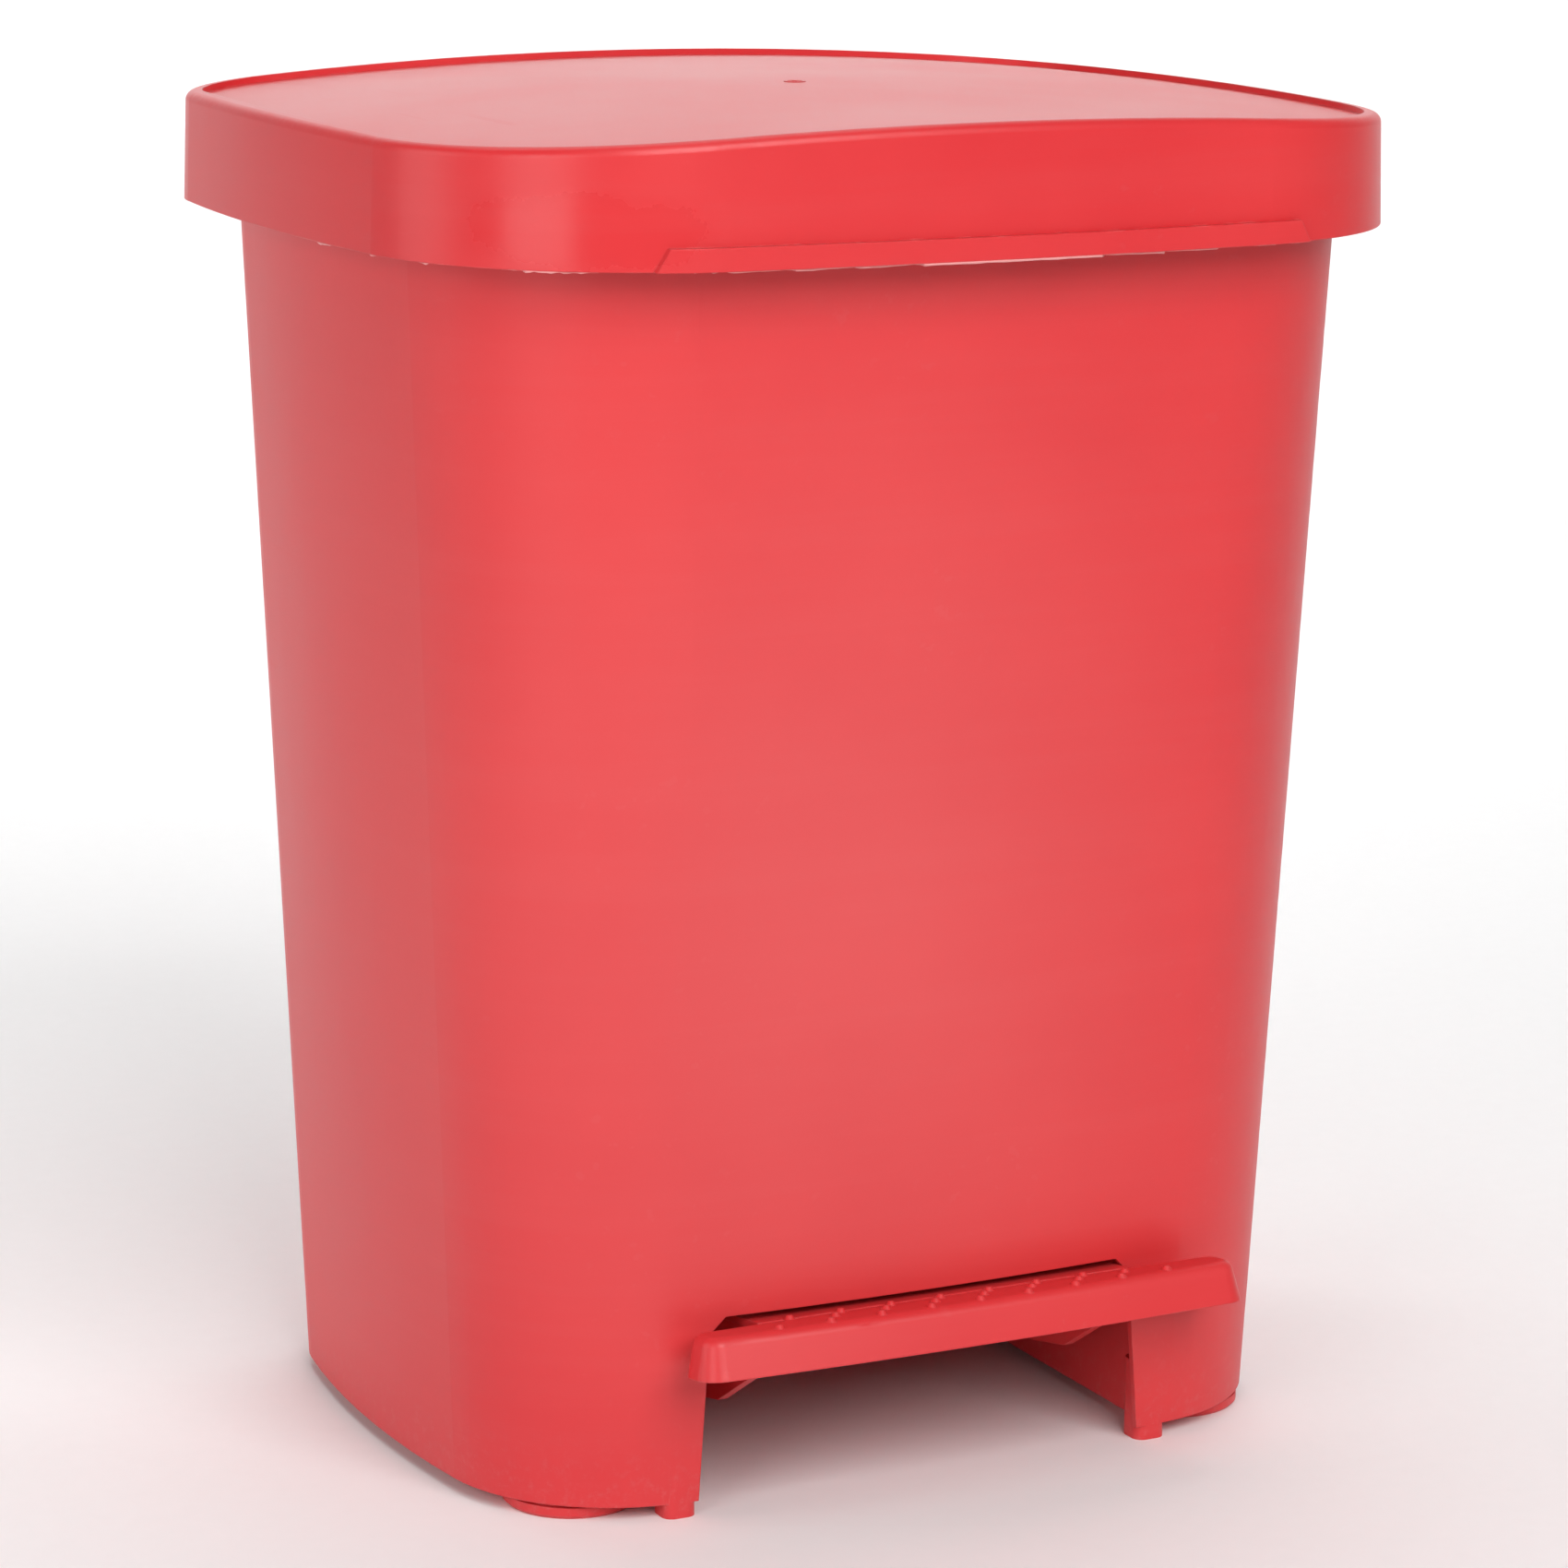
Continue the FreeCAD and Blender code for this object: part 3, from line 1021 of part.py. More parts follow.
def main():
    make_sheet()
    made = {"bin_body": bin_body()}
    for name, x, y in foot_places():
        made[name] = foot(name, x, y)
    made["hinge_pin"], made["hinge_pin_caps"] = pin_with_caps(
        "hinge_pin", "hinge_pin_caps", "hinge_pin_radius", "hinge_pin_half",
        "hinge_y", "hinge_z", "hinge_pin_radius + cap_wall", "cap_length", "lug_end_x")
    made["pedal_axle"], made["axle_caps"] = pin_with_caps(
        "pedal_axle", "axle_caps", "axle_radius", "axle_half",
        "pivot_y", "pivot_z", "axle_radius + axle_cap_wall", "cap_length", "axle_lug_end_x")
    made["rod_guide_lower"] = rod_guide("rod_guide_lower", "guide_low_z")
    made["rod_guide_upper"] = rod_guide("rod_guide_upper", "guide_high_z")
    made["rear_cover"] = rear_cover()
    made["rear_cover_screws"] = rear_cover_screws()
    made["lid"] = lid()
    made["lid_crank"] = lid_crank()
    made["crank_screws"] = crank_screws()
    made["crank_pin"], made["crank_pin_caps"] = pin_with_caps(
        "crank_pin", "crank_pin_caps", "crank_pin_radius", "crank_pin_half",
        "crank_rest_y", "crank_rest_z", "crank_pin_radius + small_cap_wall", "small_cap_length",
        "cheek_outer")
    made["pedal"] = at_pedal(pedal())
    pin, caps = pin_with_caps(
        "rear_pin", "rear_pin_caps", "rear_pin_radius", "crank_pin_half",
        "rear_arm", "0", "rear_pin_radius + small_cap_wall", "small_cap_length", "cheek_outer")
    made["rear_pin"] = at_pedal(group("rear_pin_set", [pin]))
    made["rear_pin_caps"] = at_pedal(caps)
    rod_pins = rod_lock_pins()
    made["push_rod"] = cut("rod_drilled", push_rod(), group("rod_pin_tools", rod_pins))
    made["rod_head"] = cut("head_drilled", rod_head(), rod_pins[0])
    made["rod_foot"] = cut("foot_drilled", rod_foot(), rod_pins[1])
    made["rod_lock_pins"] = group("rod_lock_pin_set", rod_pins)
    doc.recompute()
    for obj in doc.Objects:
        if "Invalid" in obj.State or "Error" in obj.State:
            raise RuntimeError(f"{obj.Name}: {obj.State}")
    os.makedirs("parts", exist_ok=True)
    for label, obj in made.items():
        export(obj, label)
    lid_swing = round(D["lid_swing"], 3)
    print("lid swing", lid_swing, "pedal swing", round(2 * D["pedal_half_swing"], 4),
          "rod travel", round(D["rod_travel"], 4), "rod y", round(D["rod_y"], 3),
          "crank pin", round(D["crank_rest_y"], 3), round(D["crank_rest_z"], 3))


main()
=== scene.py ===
"""Looks of a red moulded step-on waste bin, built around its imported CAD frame."""
import logging
import math
from dataclasses import dataclass, field
from enum import Enum
from typing import Callable, Iterable, Optional, Sequence

import bmesh
import bpy
from mathutils import Matrix, Vector


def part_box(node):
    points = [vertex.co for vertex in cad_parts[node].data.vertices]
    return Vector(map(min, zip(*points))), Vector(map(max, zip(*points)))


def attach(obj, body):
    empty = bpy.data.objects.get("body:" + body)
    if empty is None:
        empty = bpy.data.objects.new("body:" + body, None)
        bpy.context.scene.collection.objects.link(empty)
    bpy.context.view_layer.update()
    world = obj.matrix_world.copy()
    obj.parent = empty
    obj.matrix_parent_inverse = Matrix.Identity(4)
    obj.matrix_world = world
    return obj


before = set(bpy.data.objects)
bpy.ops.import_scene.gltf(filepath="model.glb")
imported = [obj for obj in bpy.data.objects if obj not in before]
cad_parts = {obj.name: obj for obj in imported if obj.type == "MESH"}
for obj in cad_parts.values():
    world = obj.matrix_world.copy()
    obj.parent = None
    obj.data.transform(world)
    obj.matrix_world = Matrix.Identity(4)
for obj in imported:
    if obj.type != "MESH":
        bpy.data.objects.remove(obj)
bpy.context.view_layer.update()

logging.basicConfig(level=logging.INFO, format="%(name)s: %(message)s")
log = logging.getLogger("bin")


class Body(str, Enum):
    """Moving bodies that new pieces ride on."""

    LID = "lid_unit"


class Slot(str, Enum):
    """Material slots of the record, handed to new pieces but not read."""

    LID = "lid_moulding"


class Link(str, Enum):
    """Sockets of the surface shader that effects feed."""

    COLOR = "Base Color"
    ROUGHNESS = "Roughness"
    METALLIC = "Metallic"
    NORMAL = "Normal"


# ------------------------------------------------------------------ node helpers

@dataclass
class Graph:
    """A node tree with short ways to add and join nodes.

    Args:
        tree: the node tree that is being filled.
    """

    tree: bpy.types.NodeTree

    def node(self, kind: str, **values: object) -> bpy.types.Node:
        """Adds a node and sets its properties and input sockets.

        Args:
            kind: the node's type name.
            values: properties by name, or input sockets by name with spaces as "_".

        Returns:
            The new node.
        """
        made = self.tree.nodes.new(kind)
        for name, value in values.items():
            if hasattr(made, name):
                setattr(made, name, value)
            else:
                made.inputs[name.replace("_", " ")].default_value = value
        return made

    def join(self, source: bpy.types.NodeSocket, target: bpy.types.NodeSocket) -> None:
        """Links an output to an input.

        Args:
            source: the output socket.
            target: the input socket.
        """
        self.tree.links.new(source, target)

    def math(self, operation: str, first: object, second: object = 0.0,
             clamp: bool = False) -> bpy.types.NodeSocket:
        """Adds a maths node on sockets or plain numbers.

        Args:
            operation: the maths node's operation.
            first: a socket or a number.
            second: a socket or a number.
            clamp: keep the result between 0 and 1.

        Returns:
            The result's socket.
        """
        made = self.tree.nodes.new("ShaderNodeMath")
        made.operation = operation
        made.use_clamp = clamp
        for index, value in enumerate((first, second)):
            if isinstance(value, bpy.types.NodeSocket):
                self.join(value, made.inputs[index])
            else:
                made.inputs[index].default_value = float(value)
        return made.outputs[0]

    def remap(self, source: bpy.types.NodeSocket, low: float, high: float,
              to_low: float = 0.0, to_high: float = 1.0) -> bpy.types.NodeSocket:
        """Maps a range onto another, clamped at both ends.

        Args:
            source: the value to map.
            low: input that gives to_low.
            high: input that gives to_high.
            to_low: result at low.
            to_high: result at high.

        Returns:
            The mapped value's socket.
        """
        made = self.tree.nodes.new("ShaderNodeMapRange")
        made.interpolation_type = "SMOOTHSTEP"
        self.join(source, made.inputs["Value"])
        for name, value in (("From Min", low), ("From Max", high),
                            ("To Min", to_low), ("To Max", to_high)):
            made.inputs[name].default_value = value
        return made.outputs["Result"]

    def mix(self, factor: bpy.types.NodeSocket, first: object,
            second: object) -> bpy.types.NodeSocket:
        """Mixes two colours.

        Args:
            factor: 0 gives first, 1 gives second.
            first: a colour socket or four numbers.
            second: a colour socket or four numbers.

        Returns:
            The mixed colour's socket.
        """
        made = self.tree.nodes.new("ShaderNodeMix")
        made.data_type = "RGBA"
        self.join(factor, made.inputs[0])
        for index, value in ((6, first), (7, second)):
            if isinstance(value, bpy.types.NodeSocket):
                self.join(value, made.inputs[index])
            else:
                made.inputs[index].default_value = value
        return made.outputs[2]


@dataclass
class EffectGroup:
    """A shared surface effect, kept as a shader node group.

    Args:
        name: the group's name.
        inputs: named float inputs with their defaults.
        outputs: named outputs with their socket types.
        fill: puts the nodes in; it gets the graph, the group input and output nodes.
    """

    name: str
    inputs: dict[str, float]
    outputs: dict[str, str]
    fill: Callable[[Graph, bpy.types.Node, bpy.types.Node], None]
    tree: Optional[bpy.types.NodeTree] = None

    def build(self) -> "EffectGroup":
        """Makes the node group.

        Returns:
            This effect, ready to use.
        """
        self.tree = bpy.data.node_groups.new(self.name, "ShaderNodeTree")
        for name, value in self.inputs.items():
            socket = self.tree.interface.new_socket(
                name=name, in_out="INPUT", socket_type="NodeSocketFloat")
            socket.default_value = value
        for name, kind in self.outputs.items():
            self.tree.interface.new_socket(name=name, in_out="OUTPUT", socket_type=kind)
        graph = Graph(self.tree)
        source = self.tree.nodes.new("NodeGroupInput")
        sink = self.tree.nodes.new("NodeGroupOutput")
        self.fill(graph, source, sink)
        return self

    def use(self, graph: Graph, **values: float) -> bpy.types.Node:
        """Places the effect in a material.

        Args:
            graph: the material's graph.
            values: inputs by name with spaces as "_".

        Returns:
            The group node.
        """
        made = graph.tree.nodes.new("ShaderNodeGroup")
        made.node_tree = self.tree
        for name, value in values.items():
            made.inputs[name.replace("_", " ")].default_value = value
        return made


def fill_grain(graph: Graph, source: bpy.types.Node, sink: bpy.types.Node) -> None:
    """Fine spark-eroded mould texture with a slow waviness under it.

    Args:
        graph: the group's graph.
        source: the group input node.
        sink: the group output node.
    """
    place = graph.node("ShaderNodeTexCoord").outputs["Object"]
    fine = graph.node("ShaderNodeTexNoise", Detail=3.0, Roughness=0.6)
    wave = graph.node("ShaderNodeTexNoise", Detail=1.5, Roughness=0.45)
    for noise, size in ((fine, "Grain Scale"), (wave, "Wave Scale")):
        graph.join(place, noise.inputs["Vector"])
        graph.join(source.outputs[size], noise.inputs["Scale"])
    low = graph.math("MULTIPLY", wave.outputs["Fac"], source.outputs["Wave Height"])
    high = graph.math("MULTIPLY", fine.outputs["Fac"], source.outputs["Grain Height"])
    graph.join(graph.math("ADD", low, high), sink.inputs["Height"])
    graph.join(graph.remap(fine.outputs["Fac"], 0.3, 0.7), sink.inputs["Grain"])


def fill_variation(graph: Graph, source: bpy.types.Node, sink: bpy.types.Node) -> None:
    """Slow clouds of colour and gloss, and faint level flow lines from moulding.

    Args:
        graph: the group's graph.
        source: the group input node.
        sink: the group output node.
    """
    place = graph.node("ShaderNodeTexCoord").outputs["Object"]
    cloud = graph.node("ShaderNodeTexNoise", Detail=4.0, Roughness=0.55)
    graph.join(place, cloud.inputs["Vector"])
    graph.join(source.outputs["Cloud Scale"], cloud.inputs["Scale"])
    graph.join(graph.remap(cloud.outputs["Fac"], 0.3, 0.7), sink.inputs["Cloud"])
    squash = graph.node("ShaderNodeMapping")
    squash.inputs["Scale"].default_value = (2.0, 2.0, 42.0)
    graph.join(place, squash.inputs["Vector"])
    lines = graph.node("ShaderNodeTexNoise", Detail=5.0, Roughness=0.7)
    graph.join(squash.outputs["Vector"], lines.inputs["Vector"])
    graph.join(source.outputs["Line Scale"], lines.inputs["Scale"])
    graph.join(graph.remap(lines.outputs["Fac"], 0.42, 0.68), sink.inputs["Lines"])


def fill_edges(graph: Graph, source: bpy.types.Node, sink: bpy.types.Node) -> None:
    """Rounded edge normals, and a broken mask where edges are rubbed pale.

    Args:
        graph: the group's graph.
        source: the group input node.
        sink: the group output node.
    """
    soft = graph.node("ShaderNodeBevel", samples=2)
    graph.join(source.outputs["Radius"], soft.inputs["Radius"])
    flat = graph.node("ShaderNodeNewGeometry")
    turn = graph.node("ShaderNodeVectorMath", operation="DOT_PRODUCT")
    graph.join(soft.outputs["Normal"], turn.inputs[0])
    graph.join(flat.outputs["Normal"], turn.inputs[1])
    bend = graph.math("SUBTRACT", 1.0, turn.outputs["Value"])
    place = graph.node("ShaderNodeTexCoord").outputs["Object"]
    patch = graph.node("ShaderNodeTexNoise", Scale=70.0, Detail=4.0, Roughness=0.7)
    graph.join(place, patch.inputs["Vector"])
    broken = graph.remap(patch.outputs["Fac"], 0.45, 0.62)
    rubbed = graph.math("MULTIPLY", graph.remap(bend, 0.015, 0.12), broken)
    graph.join(graph.math("MULTIPLY", rubbed, source.outputs["Wear"], True),
               sink.inputs["Mask"])
    graph.join(soft.outputs["Normal"], sink.inputs["Normal"])


def fill_dust(graph: Graph, source: bpy.types.Node, sink: bpy.types.Node) -> None:
    """Pale dust that thins out above the floor.

    Args:
        graph: the group's graph.
        source: the group input node.
        sink: the group output node.
    """
    place = graph.node("ShaderNodeTexCoord").outputs["Object"]
    split = graph.node("ShaderNodeSeparateXYZ")
    graph.join(place, split.inputs[0])
    rise = graph.math("DIVIDE", split.outputs["Z"], source.outputs["Fade Height"])
    low = graph.math("SUBTRACT", 1.0, rise, True)
    speck = graph.node("ShaderNodeTexNoise", Scale=240.0, Detail=5.0, Roughness=0.75)
    graph.join(place, speck.inputs["Vector"])
    spotted = graph.remap(speck.outputs["Fac"], 0.48, 0.72)
    amount = graph.math("MULTIPLY", graph.math("MULTIPLY", low, spotted),
                        source.outputs["Amount"], True)
    graph.join(amount, sink.inputs["Mask"])


def fill_scratches(graph: Graph, source: bpy.types.Node, sink: bpy.types.Node) -> None:
    """Thin hairline scratches in two directions, in broken patches.

    Args:
        graph: the group's graph.
        source: the group input node.
        sink: the group output node.
    """
    place = graph.node("ShaderNodeTexCoord").outputs["Object"]
    total = None
    for angle, seed in ((0.5, 3.0), (-0.9, 11.0)):
        turn = graph.node("ShaderNodeMapping")
        turn.inputs["Rotation"].default_value = (angle, angle * 0.7, angle)
        turn.inputs["Location"].default_value = (seed, seed * 0.3, 0.0)
        turn.inputs["Scale"].default_value = (160.0, 4.0, 160.0)
        graph.join(place, turn.inputs["Vector"])
        hair = graph.node("ShaderNodeTexNoise", Detail=2.0, Roughness=0.5)
        graph.join(turn.outputs["Vector"], hair.inputs["Vector"])
        graph.join(source.outputs["Scale"], hair.inputs["Scale"])
        line = graph.remap(hair.outputs["Fac"], 0.66, 0.72)
        total = line if total is None else graph.math("MAXIMUM", total, line)
    patch = graph.node("ShaderNodeTexNoise", Scale=14.0, Detail=2.0)
    graph.join(place, patch.inputs["Vector"])
    kept = graph.math("MULTIPLY", total, graph.remap(patch.outputs["Fac"], 0.5, 0.65))
    graph.join(graph.math("MULTIPLY", kept, source.outputs["Amount"], True),
               sink.inputs["Mask"])


@dataclass
class Effects:
    """Every surface effect that more than one material shares."""

    grain: EffectGroup = field(default_factory=lambda: EffectGroup(
        "MouldGrain",
        {"Grain Scale": 1400.0, "Grain Height": 0.5, "Wave Scale": 9.0, "Wave Height": 1.0},
        {"Height": "NodeSocketFloat", "Grain": "NodeSocketFloat"}, fill_grain))
    variation: EffectGroup = field(default_factory=lambda: EffectGroup(
        "MouldVariation", {"Cloud Scale": 6.0, "Line Scale": 2.0},
        {"Cloud": "NodeSocketFloat", "Lines": "NodeSocketFloat"}, fill_variation))
    edges: EffectGroup = field(default_factory=lambda: EffectGroup(
        "EdgeWear", {"Radius": 0.0007, "Wear": 0.5},
        {"Mask": "NodeSocketFloat", "Normal": "NodeSocketVector"}, fill_edges))
    dust: EffectGroup = field(default_factory=lambda: EffectGroup(
        "FloorDust", {"Fade Height": 0.05, "Amount": 0.3},
        {"Mask": "NodeSocketFloat"}, fill_dust))
    scratches: EffectGroup = field(default_factory=lambda: EffectGroup(
        "HairScratches", {"Scale": 1.0, "Amount": 0.4},
        {"Mask": "NodeSocketFloat"}, fill_scratches))

    def build(self) -> "Effects":
        """Makes all the groups.

        Returns:
            This set of effects.
        """
        for effect in (self.grain, self.variation, self.edges, self.dust, self.scratches):
            effect.build()
            log.info("effect %s", effect.name)
        return self


# ------------------------------------------------------------------ finishes

Color = tuple[float, float, float, float]
Triple = tuple[float, float, float]


@dataclass(frozen=True)
class RedPlastic:
    """Satin red polypropylene, with mould grain, soft edges, light wear and an optional painted
    sheen.

    Args:
        name: the material's name.
        color: its main colour.
        deep: the colour of its darker clouds.
        rubbed: the pale colour of rubbed and stressed edges.
        dust_color: the colour of the dust near the floor.
        sheen_color: the pale colour of the painted sheen, the front lamp's broad highlight
            painted into the colour.
        roughness: the mean roughness.
        grain: strength of the fine grain.
        wave: strength of the slow waviness.
        wear: how much of the edges is rubbed.
        scratch: how many hairlines show.
        dust: how much dust lies near the floor.
        line_tint: how much the flow lines pale the colour.
        hair_tint: how much the hairlines pale it.
        cloud_dip: how much smoother the plastic is where there are no clouds.
        cloud_rise: how much rougher the clouds make it.
        line_rise: how much rougher the flow lines make it.
        hair_rise: how much rougher the hairlines make it.
        dust_rise: how much rougher the dust makes it.
        gloss_patch: a glossy scuffed patch at this place, if there is one.
        patch_stretch: one over the patch's reach along X, Y and Z, in metres.
        sheen_centre: the middle of a painted sheen, a paler patch that stands in for the front
            lamp's broad highlight, if there is one.
        sheen_stretch: one over the painted sheen's reach along X, Y and Z, in metres.
    """

    name: str
    color: Color = (0.71, 0.036, 0.040, 1.0)
    deep: Color = (0.66, 0.028, 0.034, 1.0)
    rubbed: Color = (0.86, 0.34, 0.33, 1.0)
    dust_color: Color = (0.62, 0.42, 0.40, 1.0)
    sheen_color: Color = (0.80, 0.21, 0.21, 1.0)
    roughness: float = 0.42
    grain: float = 0.045
    wave: float = 1.2
    wear: float = 0.35
    scratch: float = 0.3
    dust: float = 0.12
    line_tint: float = 0.015
    hair_tint: float = 0.10
    cloud_dip: float = 0.04
    cloud_rise: float = 0.06
    line_rise: float = 0.01
    hair_rise: float = 0.10
    dust_rise: float = 0.25
    gloss_patch: Optional[Triple] = None
    patch_stretch: Triple = (24.0, 24.0, 70.0)
    sheen_centre: Optional[Triple] = None
    sheen_stretch: Triple = (5.5, 6.0, 4.2)

    def build(self, effects: Effects) -> bpy.types.Material:
        """Makes the material.

        Args:
            effects: the shared effects.

        Returns:
            The material.
        """
        material, graph, shader = new_material(self.name)
        variation = effects.variation.use(graph, Cloud_Scale=5.0, Line_Scale=1.6)
        grain = effects.grain.use(graph, Grain_Scale=1500.0, Grain_Height=self.grain,
                                  Wave_Scale=7.0, Wave_Height=self.wave)
        edges = effects.edges.use(graph, Radius=0.0007, Wear=self.wear)
        dust = effects.dust.use(graph, Fade_Height=0.035, Amount=self.dust)
        hair = effects.scratches.use(graph, Scale=1.0, Amount=self.scratch)
        cloud = graph.mix(variation.outputs["Cloud"], self.deep, self.color)
        lined = graph.mix(graph.math("MULTIPLY", variation.outputs["Lines"], self.line_tint),
                          cloud, self.rubbed)
        worn = graph.mix(edges.outputs["Mask"], lined, self.rubbed)
        marked = graph.mix(graph.math("MULTIPLY", hair.outputs["Mask"], self.hair_tint),
                           worn, self.rubbed)
        dust_and_sheen = graph.mix(dust.outputs["Mask"], marked, self.dust_color)
        # Painted sheen: a paler patch round the front middle that stands in for the front
        # lamp's broad highlight, mixed over the dust.
        if self.sheen_centre:
            dust_and_sheen = graph.mix(self.sheen_strength(graph), dust_and_sheen, self.sheen_color)
        graph.join(dust_and_sheen, shader.inputs[Link.COLOR.value])
        clouded = graph.math("MULTIPLY", variation.outputs["Cloud"], self.cloud_rise)
        rough = graph.math("ADD", self.roughness - self.cloud_dip, clouded)
        for mask, rise in ((variation.outputs["Lines"], self.line_rise),
                           (hair.outputs["Mask"], self.hair_rise),
                           (dust.outputs["Mask"], self.dust_rise)):
            rough = graph.math("ADD", rough, graph.math("MULTIPLY", mask, rise))
        if self.gloss_patch:
            rough = self.scuffed(graph, rough)
        graph.join(rough, shader.inputs[Link.ROUGHNESS.value])
        bump = graph.node("ShaderNodeBump", Strength=0.5, Distance=0.0006)
        graph.join(grain.outputs["Height"], bump.inputs["Height"])
        graph.join(edges.outputs["Normal"], bump.inputs["Normal"])
        graph.join(bump.outputs["Normal"], shader.inputs[Link.NORMAL.value])
        shader.inputs["IOR"].default_value = 1.49
        return material

    def scuffed(self, graph: Graph, rough: bpy.types.NodeSocket) -> bpy.types.NodeSocket:
        """Lowers the roughness in a ragged patch.

        Args:
            graph: the material's graph.
            rough: the roughness so far.

        Returns:
            The roughness with the patch in it.
        """
        place = graph.node("ShaderNodeTexCoord").outputs["Object"]
        away = self.away_from(graph, place, self.gloss_patch, self.patch_stretch)
        ragged = graph.node("ShaderNodeTexNoise", Scale=45.0, Detail=5.0, Roughness=0.7)
        graph.join(place, ragged.inputs["Vector"])
        raggedness, outer, inner, polish = 1.1, 1.75, 1.25, 0.10
        edge = graph.math("ADD", away,
                          graph.math("MULTIPLY", ragged.outputs["Fac"], raggedness))
        inside = graph.remap(edge, outer, inner)
        return graph.math("SUBTRACT", rough, graph.math("MULTIPLY", inside, polish))

    def sheen_strength(self, graph: Graph) -> bpy.types.NodeSocket:
        """Finds how strong the painted sheen is at each place, a paler patch that stands in for
        the front lamp's broad highlight.

        Args:
            graph: the material's graph.

        Returns:
            The painted sheen's strength, 0 outside it and about a fifth in its middle.
        """
        place = graph.node("ShaderNodeTexCoord").outputs["Object"]
        away = self.away_from(graph, place, self.sheen_centre, self.sheen_stretch)
        cloudy = graph.node("ShaderNodeTexNoise", Scale=9.0, Detail=2.0, Roughness=0.5)
        graph.join(place, cloudy.inputs["Vector"])
        swing, mean, outer, inner, most = 0.5, 0.75, 1.15, 0.1, 0.20
        uneven = graph.math("ADD", graph.math("MULTIPLY", cloudy.outputs["Fac"], swing), mean)
        return graph.math("MULTIPLY", graph.remap(away, outer, inner, 0.0, most), uneven)

    @staticmethod
    def away_from(graph: Graph, place: bpy.types.NodeSocket,
                  centre: Triple, stretch: Triple) -> bpy.types.NodeSocket:
        """Measures how far each place is from a centre, in stretched space.

        Args:
            graph: the material's graph.
            place: the place's socket.
            centre: the centre, in metres.
            stretch: how much X, Y and Z are stretched.

        Returns:
            The distance's socket.
        """
        shift = graph.node("ShaderNodeMapping")
        shift.inputs["Location"].default_value = tuple(-v for v in centre)
        graph.join(place, shift.inputs["Vector"])
        scaled = graph.node("ShaderNodeVectorMath", operation="MULTIPLY")
        scaled.inputs[1].default_value = stretch
        graph.join(shift.outputs["Vector"], scaled.inputs[0])
        away = graph.node("ShaderNodeVectorMath", operation="LENGTH")
        graph.join(scaled.outputs[0], away.inputs[0])
        return away.outputs["Value"]


@dataclass(frozen=True)
class DrawnSteel:
    """Zinc plated drawn steel with fine lengthwise lines.

    Args:
        name: the material's name.
        color: the metal's colour.
        dull: the colour where the zinc has dulled.
        bright: the colour of rubbed edges.
        roughness: the mean roughness.
        stretch: how the lines run along X, Y and Z.
    """

    name: str
    color: Color = (0.56, 0.56, 0.57, 1.0)
    dull: Color = (0.40, 0.39, 0.37, 1.0)
    bright: Color = (0.78, 0.78, 0.78, 1.0)
    roughness: float = 0.32
    stretch: Triple = (2.0, 60.0, 60.0)

    def build(self, effects: Effects) -> bpy.types.Material:
        """Makes the material.

        Args:
            effects: the shared effects.

        Returns:
            The material.
        """
        material, graph, shader = new_material(self.name)
        shader.inputs[Link.METALLIC.value].default_value = 1.0
        place = graph.node("ShaderNodeTexCoord").outputs["Object"]
        along = graph.node("ShaderNodeMapping")
        along.inputs["Scale"].default_value = self.stretch
        graph.join(place, along.inputs["Vector"])
        lines = graph.node("ShaderNodeTexNoise", Scale=24.0, Detail=6.0, Roughness=0.7)
        graph.join(along.outputs["Vector"], lines.inputs["Vector"])
        variation = effects.variation.use(graph, Cloud_Scale=30.0, Line_Scale=3.0)
        edges = effects.edges.use(graph, Radius=0.0003, Wear=0.7)
        clouded = graph.mix(variation.outputs["Cloud"], self.color, self.dull)
        worn = graph.mix(edges.outputs["Mask"], clouded, self.bright)
        graph.join(worn, shader.inputs[Link.COLOR.value])
        rough = graph.math("ADD", self.roughness - 0.08,
                           graph.math("MULTIPLY", lines.outputs["Fac"], 0.18))
        graph.join(rough, shader.inputs[Link.ROUGHNESS.value])
        bump = graph.node("ShaderNodeBump", Strength=0.25, Distance=0.0002)
        graph.join(lines.outputs["Fac"], bump.inputs["Height"])
        graph.join(edges.outputs["Normal"], bump.inputs["Normal"])
        graph.join(bump.outputs["Normal"], shader.inputs[Link.NORMAL.value])
        return material


